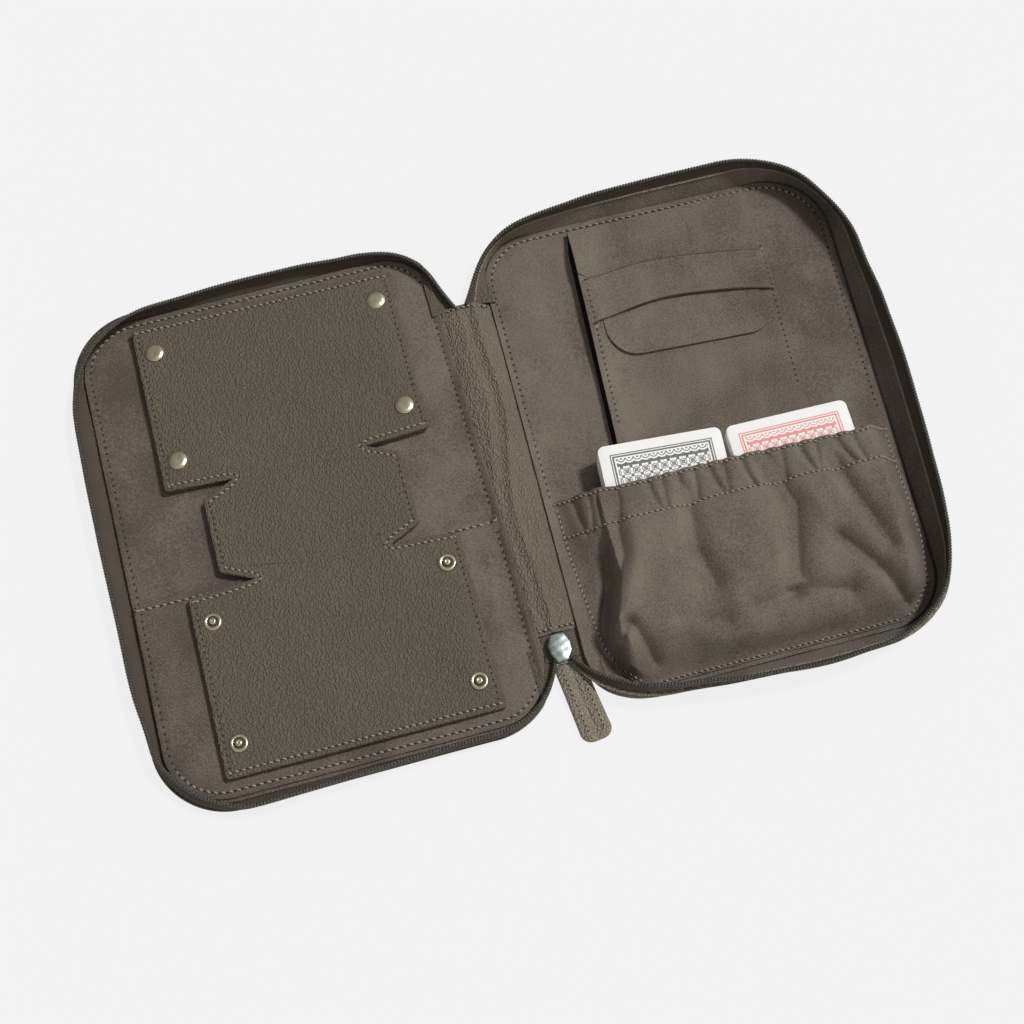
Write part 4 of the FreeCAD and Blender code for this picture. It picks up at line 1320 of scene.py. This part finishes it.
def leaned(x, y):
    """Wallet x with the lean that its upper part has: a shear about one line, none under the decks."""
    return x + WALLET_LEAN * (np.clip(y, -20, 140) - WALLET_HINGE_Y) * smooth((y + 50.0) / 30.0)


def wallet_lift(x, y, left, top, lift):
    """How far the wallet's front stands up: a crest along its left edge that dies out at both ends.

    Soft ripples and a few round dents, each given by its place, depth and width, lie over it.
    """
    along = smooth((y + 8.5) / 8.0) * smooth((top + 8.0 - y) / 30.0)
    crest = np.exp(-((x - left) / 9.0) ** 2) * lift
    soft = 0.5 + ripple(x, y, [(0.25, 47, 12, 0.5), (0.2, 33, 80, 1.1)])
    for dent_x, dent_y, depth, width in WALLET_DENTS:
        soft = soft - depth * np.exp(-((x - dent_x) ** 2 + (y - dent_y) ** 2) / width ** 2)
    return crest * along + np.maximum(soft + 0.6, 0.0) * smooth((y - WALLET_FLAT_END) / 14.0)


class CASE_OT_wallet(bpy.types.Operator):
    """Tuck-flap wallet: back, front, strap between two slits and the flap whose tongue goes under it"""

    bl_idname = "case.wallet"
    bl_label = "Wallet"

    def execute(self, context):
        lift = sizes()["wallet_lift"]
        low, high = corner_boxes("wallet_front")
        x = np.linspace(low[0] - 1.5, high[0] + 2.0, 67)
        y = np.linspace(low[1], WALLET_TOP, 127)

        def front(at_x, at_y):
            return high[2] + wallet_lift(at_x, at_y, x[0], y[-1], lift)

        def sheet(name, at_x, at_y, height, thickness, node, finish="suede"):
            shape = Shape()
            shape.slab(np.stack([leaned(at_x, at_y), at_y, height], axis=-1), thickness)
            piece = shape.solid(name, finishes(finish), [node] if node else [])
            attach(piece, "right_half")
            return piece

        def follow(piece):
            """Give a sheet its own copy of its mesh."""
            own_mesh(piece)

        plan_y, plan_x = np.meshgrid(y, x, indexing="ij")
        # Painted shadow: the back ply is very dark and reaches out past the front's raised left edge,
        # standing for the shadow under that edge.
        shadow_strip_reach = 1.6 * smooth((plan_y + 12.0) / 10.0) * smooth((y[-1] - plan_y) / 14.0)
        back_x = plan_x - shadow_strip_reach * smooth((x[8] - plan_x) / (x[8] - x[0]))
        sheet("wallet_back_ply", back_x, plan_y, np.full(plan_x.shape, low[2] - 0.05), 0.5, "wallet_back",
              "wallet_gap")
        follow(sheet("wallet_front_ply", plan_x, plan_y, front(plan_x, plan_y), WALLET_PLY, "wallet_front"))

        share, strap_x = np.meshgrid(np.linspace(0, 1, 25), x, indexing="ij")
        slit_low = np.polyval(SLIT_LOW, strap_x)
        strap_y = slit_low + share * (np.polyval(SLIT_HIGH, strap_x) - slit_low)
        arch = smooth((strap_x - x[0]) / 8.0) * smooth((x[-1] - strap_x) / 5.0)
        gape = smooth(1 - share / 0.25) * smooth((strap_x - x[0] - 6.0) / 25.0)
        gape = gape * smooth((x[-1] - strap_x) / 20.0)
        gape = gape + 0.55 * smooth((share - 0.8) / 0.2)
        strap_z = front(strap_x, strap_y) + 0.08 + arch * (1.75 + gape)
        follow(sheet("wallet_strap_band", strap_x, strap_y, strap_z, WALLET_PLY, "wallet_strap"))
        # A thin dark strip under the strap shows beyond its edges along both slits: the strap's dark cut
        # edge with painted shadow under it.
        edge_shadow_reach = 0.6 * (2 * share - 1)
        follow(sheet("wallet_strap_edge", strap_x, strap_y + edge_shadow_reach, strap_z - 0.2, 0.4, None, "cut_edge"))

        round_end = TONGUE_TIP + 20.0
        flap_y = np.concatenate([np.linspace(TONGUE_TIP, round_end, 33),
                                 np.linspace(round_end, y[-1], 50)[1:]])

        def corner(radius):
            """How far a rounded corner of the tongue draws its side in."""
            down = np.clip(TONGUE_TIP + radius - flap_y, 0, radius)
            return radius - np.sqrt(radius ** 2 - down ** 2)

        left = TONGUE_LEFT - (TONGUE_LEFT - x[0]) * smooth((flap_y - FLAP_SHOULDER["left"]) / 6.0)
        left = left + corner(TONGUE_ROUND["left"])
        widened = (x[-1] - 2.0 - TONGUE_RIGHT) * smooth((flap_y - FLAP_SHOULDER["right"]) / 8.0)
        right = TONGUE_RIGHT + widened - corner(TONGUE_ROUND["right"])
        flap_x = left[:, None] + (right - left)[:, None] * np.linspace(0, 1, 61)[None]
        flap_y = np.repeat(flap_y[:, None], 61, axis=1)
        flap_y = flap_y - 0.055 * (flap_x + 28.0) * smooth((70.0 - flap_y) / 15.0)
        tuck = np.exp(-((flap_y - np.polyval(SLIT_HIGH, flap_x) - 1.5) / 2.2) ** 2)
        flap_z = front(flap_x, flap_y) + 0.9 + 1.0 * smooth((66.0 - flap_y) / 15.0) - 0.7 * tuck
        follow(sheet("wallet_flap_ply", flap_x, flap_y, flap_z, WALLET_PLY, "wallet_flap"))

        rows = []
        row_y = np.linspace(8.0, y[-1] - 4.0, 120)
        for row_x, end in ((x[0] + 3.2, 1.0), (high[0], 0.86)):
            run_y = row_y[0] + (row_y - row_y[0]) * end
            run_x = np.full(len(row_y), row_x)
            over = smooth((run_y - 62.0) / 4.0) * smooth((94.0 - run_y) / 4.0) * 0.6
            rows.append(np.stack([leaned(run_x, run_y), run_y, front(run_x, run_y) + over], axis=1))
        stitches = seam("wallet_seams", rows, "suede", size=0.9)
        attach(stitches, "right_half")
        follow(stitches)
        return {"FINISHED"}


# The decks lie turned a little about the middles of their upper edges, and shifted.
DECK_TURN = {"deck_black": math.radians(-4.4), "deck_red": math.radians(-0.9)}
DECK_SHIFT = {"deck_black": (-1.5, 1.4), "deck_red": (-0.7, -2.7)}


def deck_place(node):
    """Middle of a deck's upper edge as it lies, half its width, its length and the height of its top."""
    low, high = corner_boxes(node)
    pivot = np.array([(low[0] + high[0]) / 2, high[1]]) + DECK_SHIFT[node]
    return pivot, (high[0] - low[0]) / 2, high[1] - low[1], high[2]


def deck_local(node, x, y):
    """Place on a deck of something at x and y: across from its middle line, and up from its middle."""
    pivot, _, long, _ = deck_place(node)
    cos, sin = math.cos(DECK_TURN[node]), math.sin(DECK_TURN[node])
    x = x - float(pivot[0])
    y = y - float(pivot[1])
    return x * cos + y * sin, y * cos - x * sin + long / 2


# Steps of the decks' slides, for which the pocket has room, and the decks' own lesser sizes.
DECK_SLIDES = np.linspace(0.0, 50.0, 11)
DECK_CLEARANCE = 0.4
CARD_STEPS = 26
CARD_CORNER = 3.5


def deck_cover(x, y):
    """Height of the decks' tops over the plan all along their slides, falling away steeply beside them."""
    cover = np.zeros(x.shape)
    for node in DECK_SHIFT:
        _, wide, long, top = deck_place(node)
        for slide in DECK_SLIDES:
            across, along = deck_local(node, x, y - slide)
            inside = np.minimum(wide - np.abs(across), long / 2 - np.abs(along))
            cover = np.maximum(cover, top * smooth((inside + 5.0) / 5.0))
    return cover


# Lines of the gathered pocket as (y, x): its feet at both sides and the shoulders beside the decks.
POCKET_LEFT = ((-20.0, -94.5), (-60.0, -95.0), (-85.0, -93.6), (-104.0, -91.6), (-118.0, -86.0),
               (-129.0, -74.0))
POCKET_RIGHT = ((-20.0, 86.0), (-46.0, 84.1), (-66.0, 83.9), (-90.0, 83.2), (-112.0, 78.4), (-125.0, 67.0),
                (-129.0, 58.0))
SHOULDER_LEFT = ((-20.0, -69.0), (-65.0, -68.5), (-82.0, -74.0), (-99.0, -80.0), (-118.0, -80.0),
                 (-129.0, -66.0))
SHOULDER_RIGHT = ((-20.0, 68.0), (-60.0, 67.0), (-100.0, 64.0), (-118.0, 60.0), (-129.0, 48.0))
POCKET_STEEP = 9.0
POCKET_HEM = -28.5
POCKET_END = -129.0
# Its slack over the decks, how far it puffs up below the hem and over what length, and the hem's sag.
POCKET_SLACK = 2.5
POCKET_PUFF = 3.6
POCKET_FADE = 24.0
POCKET_SAG = ((-94.5, -76.0, -60.0, -8.0, 44.0, 66.0, 76.0, 87.0),
              (6.0, 1.5, -1.2, -0.9, -2.2, -3.0, -1.0, 2.5))

# Folds of the pocket: points along each, its depth and its width.
POCKET_FOLDS = (
    (((-69, -34), (-71, -65), (-81, -82), (-89, -98), (-91, -108), (-89, -119)), -8.0, 4.5),
    (((-61, -50), (-63, -66), (-71, -84), (-78, -97)), 1.4, 5.0),
    (((-77, -99), (-83, -110), (-87, -121)), -5.0, 2.4),
    (((-75, -100), (-68, -118)), -5.0, 3.6),
    (((-81, -98), (-78, -112), (-78, -120)), 2.2, 3.0),
    (((-30, -44), (-33, -74), (-30, -92)), -5.0, 5.0),
    (((-46, -58), (-50, -84)), 1.0, 8.0),
    (((14, -42), (19, -62), (13, -84), (7, -102)), -7.5, 5.0),
    (((29, -54), (32, -74)), 1.6, 6.0),
    (((46, -46), (55, -79), (59, -94)), -6.0, 4.5),
    (((36, -84), (50, -104), (67, -127)), -6.5, 3.4),
    (((48, -84), (62, -104), (73, -120)), 1.6, 4.5),
    (((-14, -107), (14, -105), (34, -110)), -7.0, 5.0),
    (((-40, -117), (-10, -120), (30, -120)), 3.0, 6.0),
    (((-52, -104), (-30, -110)), -3.0, 5.0),
)
# Pleats under the hem: place, slant and depth of each.
POCKET_PLEATS = ((-84, 2, 0.8), (-76, -3, 0.9), (-63, -4, 1.6), (-47, 3, 0.9), (-39, -2, 0.8),
                 (-31.5, 2, 1.3), (-22, -3, 0.8), (-15.5, 4, 1.3), (-7, -2, 0.8), (1.6, 3, 1.4),
                 (14, 5, 1.5), (23, -2, 0.8), (32, 4, 1.2), (41, -2, 0.8), (50.5, 6, 1.4), (60, 2, 0.9))


def line_at(line, y):
    """x of a line of (y, x) points at given y."""
    points = np.array(line)[::-1]
    return np.interp(y, points[:, 0], points[:, 1])


def fold_height(x, y, points, depth, width):
    """Height of one fold: a bell of a depth and width over the distance from a line through points."""
    nearest = np.full(x.shape, np.inf)
    for start, end in zip(points[:-1], points[1:]):
        start = np.asarray(start, float)
        reach = np.asarray(end, float) - start
        t = np.clip(((x - start[0]) * reach[0] + (y - start[1]) * reach[1]) / (reach @ reach), 0, 1)
        nearest = np.minimum(nearest, np.hypot(x - start[0] - t * reach[0], y - start[1] - t * reach[1]))
    return depth * np.exp(-(nearest / width) ** 1.5)


def pocket_surface(size):
    """Grid of the gathered pocket, from its hem down to its bottom seam and from foot to foot.

    Between two foot lines the suede rises over the decks as a smooth plateau, with the folds and pleats
    listed above. Over the decks it is kept clear of them by a smooth maximum.
    """
    top = corner_boxes("deck_black", "deck_red")[1][2] + POCKET_SLACK
    down = np.linspace(0, 1, 141)
    y_line = POCKET_HEM + (POCKET_END - POCKET_HEM) * (1.15 * down - 0.15 * down ** 2)
    left = line_at(POCKET_LEFT, y_line)[:, None]
    right = line_at(POCKET_RIGHT, y_line)[:, None]
    x = left + (right - left) * np.linspace(0, 1, 341)[None]
    y = np.repeat(y_line[:, None], x.shape[1], axis=1)
    y = y + np.interp(x, *POCKET_SAG) * (1 - down[:, None]) ** 1.2
    shoulder = line_at(SHOULDER_LEFT, y_line)[:, None]
    gentle = smooth((x - left) / (shoulder - left))
    steep = 0.3 * gentle + 0.7 * smooth((x - shoulder) / POCKET_STEEP + 1)
    rise = gentle + (steep - gentle) * smooth((POCKET_HEM - 12.0 - y) / POCKET_FADE)
    rise = rise * smooth((right - x) / (right - line_at(SHOULDER_RIGHT, y_line)[:, None]))
    toe = smooth((y - POCKET_END + 0.5) / 26.0)
    foot_z = FLOOR_Z + 0.9
    puff = POCKET_PUFF * smooth((POCKET_HEM - 6.0 - y) / POCKET_FADE)
    height = foot_z + (top + puff - foot_z) * rise * toe
    held = smooth((height - foot_z) / 5.0)
    folds = ripple(x, y, [(0.2, 34, 6, 0.7), (0.16, 23, 14, 2.0), (0.16, 51, 70, 0.4)])
    for points, depth, width in POCKET_FOLDS:
        folds = folds + fold_height(x, y, points, depth, width)
    for place, slant, depth in POCKET_PLEATS:
        line = ((place, POCKET_HEM + 4.0), (place + 0.3 * slant, POCKET_HEM - 9.0),
                (place + slant, POCKET_HEM - 19.0))
        folds = folds + fold_height(x, y, line, -2.4 * depth, 1.8)
        folds = folds + fold_height(x, y, line, 0.8 * depth, 4.2)
    height = height + folds * held
    floor = deck_cover(x, y) + size["pocket_thickness"] + 0.35
    height = (height + floor + np.sqrt((height - floor) ** 2 + 0.3)) / 2
    return np.stack([x, y, height], axis=-1)


class CASE_OT_gathered_pocket(bpy.types.Operator):
    """Suede pocket gathered by an elastic over the two decks"""

    bl_idname = "case.gathered_pocket"
    bl_label = "Gathered pocket"

    def execute(self, context):
        size = sizes()
        grid = pocket_surface(size)
        shape = Shape()
        shape.slab(grid, size["pocket_thickness"])
        pocket = shape.solid("gathered_suede_pocket", finishes("suede"),
                             ["gathered_pocket", "pocket_elastic"])
        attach(pocket, "right_half")

        def pressed(piece):
            """Give a piece its own copy of its mesh."""
            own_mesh(piece)

        pressed(pocket)
        rows = []
        for line in (grid[2, 4:-4], grid[24, 4:-4], grid[6:-4, 5], grid[6:-4, -6], grid[-3, 20:-16]):
            rows.append(line + UP * 0.1)
        stitches = seam("pocket_seams", rows, "suede", size=0.8, sink=0.5, dimple=0.75)
        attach(stitches, "right_half")
        pressed(stitches)
        return {"FINISHED"}


class CASE_OT_decks(bpy.types.Operator):
    """Two decks of cards with rounded corners and edges that show single cards"""

    bl_idname = "case.decks"
    bl_label = "Decks"

    def execute(self, context):
        for node, name, finish, slot, body in (
                ("deck_black", "slate_deck", "card_slate", "slate_cards", "black_deck"),
                ("deck_red", "red_deck", "card_red", "red_cards", "red_deck")):
            low, high = corner_boxes(node)
            low[2] += DECK_CLEARANCE
            pivot, wide, long, _ = deck_place(node)
            corners = [(-wide, -long), (wide, -long), (wide, 0), (-wide, 0)]
            outline = rounded_path(corners, [CARD_CORNER] * 4, closed=True, straight=12, bend=10)
            cos, sin = math.cos(DECK_TURN[node]), math.sin(DECK_TURN[node])
            outline = outline @ np.array([[cos, sin], [-sin, cos]]) + pivot
            step = (high[2] - low[2]) / CARD_STEPS
            profile = [(0.1, low[2])]
            for card in range(CARD_STEPS):
                wobble = 0.09 + 0.09 * math.sin(2.4 * card) + 0.05 * math.sin(5.1 * card + 1.0)
                z = low[2] + card * step
                profile += [(wobble + 0.12, z + 0.02), (wobble, z + 0.25 * step), (wobble, z + 0.8 * step)]
            profile[-1] = (0.05, high[2] - 0.12)
            profile += [(0.12, high[2] - 0.03), (0.3, high[2])]
            shape = Shape()
            shape.pad(outline, profile, rings=3)
            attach(shape.solid(name, finishes(finish), [node]), body)
        return {"FINISHED"}


# Zip slider: its plan in shares of its half width and half length, its shift from the CAD slider, how far
# its upper plate is raised and how thick that is, and the plans of its wedge and of one flange.
SLIDER_PLAN = [(-0.55, -1), (0.4, -1), (0.95, -0.4), (1.0, 0.25), (0.62, 1), (-0.62, 1), (-1.0, 0.3),
               (-0.95, -0.35)]
SLIDER_WIDEN = 1.06
SLIDER_SHIFT = (-1.2, 0.8, 0.0)
SLIDER_RAISE = 0.3
SLIDER_PLATE = 1.3
WEDGE_PLAN = [(-1.7, -6.2), (1.7, -6.2), (1.2, -4.0), (-1.2, -4.0)]
FLANGE_PLAN = [(3.1, -3.2), (4.2, -3.2), (4.2, 3.2), (3.1, 3.2)]
# Pull: radius of its wire and its swing to one side; its leather's spread beside the CAD tab, reach over
# the link, taper, corner radii, height over the table and edge section as (inset, height).
WIRE_RADIUS = 0.5
PULL_SWING = math.radians(7.0)
PULL_SPREAD = 0.17
PULL_REACH = 4.0
PULL_TAPER = 0.8
PULL_RADII = [5.6, 5.6, 3.0, 3.0]
PULL_FOOT = 0.15
PULL_PROFILE = [(0.7, 0.0), (0.15, 0.35), (0.0, 1.0), (0.1, 1.6), (0.6, 2.1), (1.4, 2.35)]


class CASE_OT_slider(bpy.types.Operator):
    """Zip slider with its bridge, wire link and sewn leather pull"""

    bl_idname = "case.slider"
    bl_label = "Zip slider"

    def execute(self, context):
        low, high = corner_boxes("slider_body")
        middle = (low + high) / 2 + SLIDER_SHIFT
        half_w = (high[0] - low[0]) / 2
        half_l = (high[1] - low[1]) / 2
        outline = np.array(SLIDER_PLAN) * [SLIDER_WIDEN * half_w, half_l] + middle[:2]
        outline = rounded_path(outline, [1.2] * len(outline), closed=True, straight=5, bend=6)

        def crown(x, y):
            """Facets of the plate: a ridge along it that falls away to both sides."""
            across = np.abs(x - middle[0]) / half_w
            along = np.abs(y - middle[1]) / half_l
            soft = ripple(x, y, [(0.05, 5.1, 30, 0.3), (0.04, 3.7, 110, 1.2)])
            return soft - 0.55 * across ** 1.6 - 0.35 * along ** 2

        shape = Shape()
        top = high[2] + SLIDER_RAISE
        under = top - SLIDER_PLATE
        bottom = low[2]
        upper = [(0.4, under), (0.0, under + 0.3), (0.0, top - 0.5), (0.35, top - 0.12), (0.9, top)]
        shape.pad(outline, upper, rings=8, relief=crown)
        shape.pad(outline, [(0.7, bottom), (0.1, bottom + 0.3), (0.0, bottom + 0.8), (0.3, bottom + 1.1)],
                  rings=4)
        wedge = np.array(WEDGE_PLAN) + middle[:2]
        wedge = rounded_path(wedge, [0.5] * 4, closed=True, straight=3, bend=4)
        shape.pad(wedge, [(0, bottom + 1.0), (0, under + 0.2)], rings=2)
        for sign in (-1, 1):
            flange = np.array(FLANGE_PLAN) * [sign, 1] + middle[:2]
            flange = flange if sign > 0 else flange[::-1]
            flange = rounded_path(flange, [0.3] * 4, closed=True, straight=3, bend=3)
            shape.pad(flange, [(0, bottom + 3.0), (0, under + 0.2)], rings=2)
        body = shape.solid("zip_slider_body", finishes("slider_metal"), ["slider_body"])
        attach(body, "zip_slider")
        dress(["slider_bridge"], "slider_metal")
        self.make_pull()
        return {"FINISHED"}

    def make_pull(self):
        """The pull: a wire loop through the bridge and a padded tab, swung a little to one side."""
        link_low, link_high = corner_boxes("pull_link")
        tab_low, tab_high = corner_boxes("pull_tab")
        wire = WIRE_RADIUS
        pivot = np.array([SPINE_X, link_high[1] - wire])
        cos, sin = math.cos(PULL_SWING), math.sin(PULL_SWING)
        turn = np.array([[cos, sin], [-sin, cos]])

        def turned(plan):
            return (np.asarray(plan, float) - pivot) @ turn + pivot

        loop = rounded_path([(link_low[0] + wire, link_low[1] + wire),
                             (link_high[0] - wire, link_low[1] + wire),
                             (link_high[0] - wire, link_high[1] - wire),
                             (link_low[0] + wire, link_high[1] - wire)],
                            [1.2] * 4, closed=True, straight=8, bend=8)
        loop = turned(np.concatenate([loop, loop[:1]]))
        path = lifted(loop, 0.0)
        path[:, 2] = np.interp(path[:, 1], [link_low[1], link_high[1]],
                               [link_low[2] + wire, link_high[2] - wire])
        side = sideways(path[:-1], closed=True)
        side = np.concatenate([side, side[:1]])
        angle = np.linspace(0, 2 * np.pi, 10, endpoint=False)
        ring = side[:, None] * np.cos(angle)[None, :, None] * wire
        ring = ring + UP * np.sin(angle)[None, :, None] * wire
        shape = Shape()
        shape.grid(path[:, None] + ring, wrap=True)
        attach(shape.solid("pull_wire", finishes("slider_metal"), ["pull_link"]),
                "zip_pull")

        spread = PULL_SPREAD * (tab_high[0] - tab_low[0])
        x_low, x_high = tab_low[0] - spread, tab_high[0] + spread
        y_low, y_high = tab_low[1], tab_high[1]
        y_end = y_high + PULL_REACH
        corners = turned([(x_low, y_low), (x_high, y_low), (x_high - PULL_TAPER, y_end),
                          (x_low + PULL_TAPER, y_end)])
        outline = rounded_path(corners, PULL_RADII, closed=True, straight=26, bend=14)
        centre = (x_low + x_high) / 2
        back = np.linalg.inv(turn)

        def relief(x, y):
            """Two padded ridges with a groove between them, drooping from the link to the table."""
            flat = (np.stack([x, y], axis=-1) - pivot) @ back + pivot
            across = (flat[..., 0] - centre) / (x_high - centre)
            groove = -0.55 * np.exp(-(across / 0.16) ** 2) * smooth((flat[..., 1] - y_low) / 6.0)
            pad = 0.35 * np.exp(-((np.abs(across) - 0.5) / 0.28) ** 2)
            droop = 1.5 * smooth((flat[..., 1] - y_low) / (y_high - y_low))
            return droop + groove + pad

        profile = [(d, PULL_FOOT + h) for d, h in PULL_PROFILE]
        shape = Shape()
        shape.pad(outline, profile, rings=14, relief=relief)
        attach(shape.solid("pull_leather", finishes("pull_leather"), ["pull_tab"]),
                "zip_pull")
        rows = []
        row_y = np.linspace(y_low + 4.5, y_high - 1.0, 40)
        for offset in (-0.5, 0.5):
            plan = turned(np.stack([np.full(40, centre + offset * (x_high - centre)), row_y], axis=1))
            rows.append(lifted(plan, profile[-1][1] + relief(plan[:, 0], plan[:, 1])))
        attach(seam("pull_seams", rows, "grain_leather", yaw=35.0, size=0.72, sink=0.2), "zip_pull")


# Directions towards the key light and the brighter sky, the sky's least and greatest share, the floor.
KEY_FROM = (0.5, 0.08, 0.86)
KEY_WIDTH = math.radians(8.0)
SKY_FROM = (0.75, -0.66, 0.0)
SKY_RANGE = (0.3, 1.7)
SKY_TINT = (1.0, 0.985, 0.96, 1.0)
FLOOR_REACH = 6000.0
FLOOR_DROP = 0.3
FLOOR_GLOW = 0.93
SENSOR = 36.0


class CASE_OT_stage(bpy.types.Operator):
    """Pale floor, soft light from the right and the camera"""

    bl_idname = "case.stage"
    bl_label = "Stage"

    def execute(self, context):
        scene = context.scene
        scene.view_settings.view_transform = "Standard"
        settings = scene.case_stage
        self.make_floor(scene)
        self.make_light(scene, settings)
        self.make_camera(scene, settings)
        return {"FINISHED"}

    def make_floor(self, scene):
        """A wide level grid just under the case, pale to the camera and in reflections."""
        line = np.linspace(-FLOOR_REACH, FLOOR_REACH, 9)
        x, y = np.meshgrid(line, line, indexing="ij")
        shape = Shape()
        shape.grid(np.stack([x, y, np.full(x.shape, -FLOOR_DROP)], axis=-1))
        mesh = bpy.data.meshes.new("studio_floor")
        mesh.from_pydata(np.concatenate(shape.points) * MM, [], shape.faces)
        floor = bpy.data.objects.new("studio_floor", mesh)
        scene.collection.objects.link(floor)
        finish = Finish("studio_floor")
        tone = tuple(scene.case_colours.floor)
        speckle = finish.noise(finish.object_place(), 0.4, 2.0)
        finish.shade(Base_Color=finish.mix(speckle, tinted(tone, 0.985), tone), Roughness=0.9)
        glow = finish.add("ShaderNodeEmission", {}, {"Color": (*tone, 1.0)})
        seen = finish.math("MAXIMUM", finish.ray("Camera"), finish.ray("Glossy"))
        seen = finish.math("MAXIMUM", seen, finish.ray("Transmission"))
        lit = Link(finish, finish.shader.outputs[0])
        blend = finish.add("ShaderNodeMixShader", {}, {0: seen * FLOOR_GLOW, 1: lit, 2: glow})
        finish.put(finish.output, {0: blend})
        mesh.materials.append(finish.material)

    def make_light(self, scene, settings):
        """A sky, brighter to the right and pale to the camera, and one soft key light from the right."""
        world = bpy.data.worlds.new("studio_sky")
        scene.world = world
        world.use_nodes = True
        nodes = Nodes(world.node_tree)
        place = nodes.add("ShaderNodeTexCoord", {}, {}, "Generated")
        toward = nodes.add("ShaderNodeVectorMath", {"operation": "DOT_PRODUCT"}, {0: place, 1: SKY_FROM},
                           "Value")
        weakest, strongest = (share * settings.sky_strength for share in SKY_RANGE)
        slope = nodes.add("ShaderNodeMapRange", {}, {"Value": toward, "From Min": -1.0, "From Max": 1.0,
                                                     "To Min": weakest, "To Max": strongest})
        sky = nodes.add("ShaderNodeBackground", {}, {"Color": SKY_TINT, "Strength": slope})
        pale = nodes.add("ShaderNodeBackground", {}, {"Color": (*scene.case_colours.floor, 1.0)})
        blend = nodes.add("ShaderNodeMixShader", {}, {0: nodes.ray("Camera"), 1: sky, 2: pale})
        nodes.put(nodes.tree.nodes.new("ShaderNodeOutputWorld"), {0: blend})
        lamp = bpy.data.lights.new("key_light", "SUN")
        lamp.energy = settings.key_strength
        lamp.angle = KEY_WIDTH
        key = bpy.data.objects.new("key_light", lamp)
        toward = unit(np.array(KEY_FROM))
        turn = Matrix(np.column_stack(self.axes(toward)).tolist())
        key.matrix_world = turn.to_4x4()
        scene.collection.objects.link(key)

    def axes(self, back):
        """Right, up and back directions of something that looks along minus back."""
        right = unit(np.cross(np.array([0.0, 1.0, 0.0]), back))
        return right, np.cross(back, right), back

    def make_camera(self, scene, settings):
        """Camera above the open case: tilt about X, then pan about Y, with the picture rolled."""
        tilt, pan, roll = settings.tilt, settings.pan, settings.roll
        lean = np.array([[1, 0, 0], [0, math.cos(tilt), -math.sin(tilt)],
                         [0, math.sin(tilt), math.cos(tilt)]])
        side = np.array([[math.cos(pan), 0, math.sin(pan)], [0, 1, 0], [-math.sin(pan), 0, math.cos(pan)]])
        right, up, back = (side @ lean).T
        place = np.array(settings.look_at) + back * settings.distance
        across = right * math.cos(roll) - up * math.sin(roll)
        upward = right * math.sin(roll) + up * math.cos(roll)
        lens = bpy.data.cameras.new("camera")
        lens.sensor_width = SENSOR
        lens.sensor_height = SENSOR
        lens.lens = SENSOR / 2 / math.tan(settings.field_of_view / 2)
        camera = bpy.data.objects.new("camera", lens)
        matrix = np.eye(4)
        matrix[:3, :3] = np.column_stack([across, upward, back])
        matrix[:3, 3] = place
        camera.matrix_world = Matrix(matrix.tolist())
        scene.collection.objects.link(camera)
        scene.camera = camera


OPERATORS = (CASE_OT_covers, CASE_OT_walls, CASE_OT_zip, CASE_OT_linings, CASE_OT_spine,
             CASE_OT_patch_pocket, CASE_OT_dice_cup, CASE_OT_snaps, CASE_OT_wallet,
             CASE_OT_gathered_pocket, CASE_OT_decks, CASE_OT_slider, CASE_OT_stage)


class CASE_PT_panel(bpy.types.Panel):
    """Sidebar list of the case's pieces, sizes and colours"""

    bl_idname = "CASE_PT_panel"
    bl_label = "Game Case"
    bl_space_type = "VIEW_3D"
    bl_region_type = "UI"
    bl_category = "Game Case"

    def draw(self, context):
        layout = self.layout
        for group in (context.scene.case_sizes, context.scene.case_colours, context.scene.case_stage):
            for name in type(group).__annotations__:
                layout.prop(group, name)
        for operator in OPERATORS:
            layout.operator(operator.bl_idname)


GROUPS = (("case_sizes", CaseSizes), ("case_colours", CaseColours), ("case_stage", StageSettings))


def register():
    """Add the property groups, operators and panel."""
    for name, group in GROUPS:
        bpy.utils.register_class(group)
        setattr(bpy.types.Scene, name, bpy.props.PointerProperty(type=group))
    for operator in OPERATORS:
        bpy.utils.register_class(operator)
    bpy.utils.register_class(CASE_PT_panel)


def unregister():
    """Remove what register added."""
    bpy.utils.unregister_class(CASE_PT_panel)
    for operator in reversed(OPERATORS):
        bpy.utils.unregister_class(operator)
    for name, group in reversed(GROUPS):
        delattr(bpy.types.Scene, name)
        bpy.utils.unregister_class(group)


def main():
    register()
    for operator in OPERATORS:
        getattr(bpy.ops.case, operator.bl_idname.split(".")[1])()


if __name__ == "__main__":
    main()
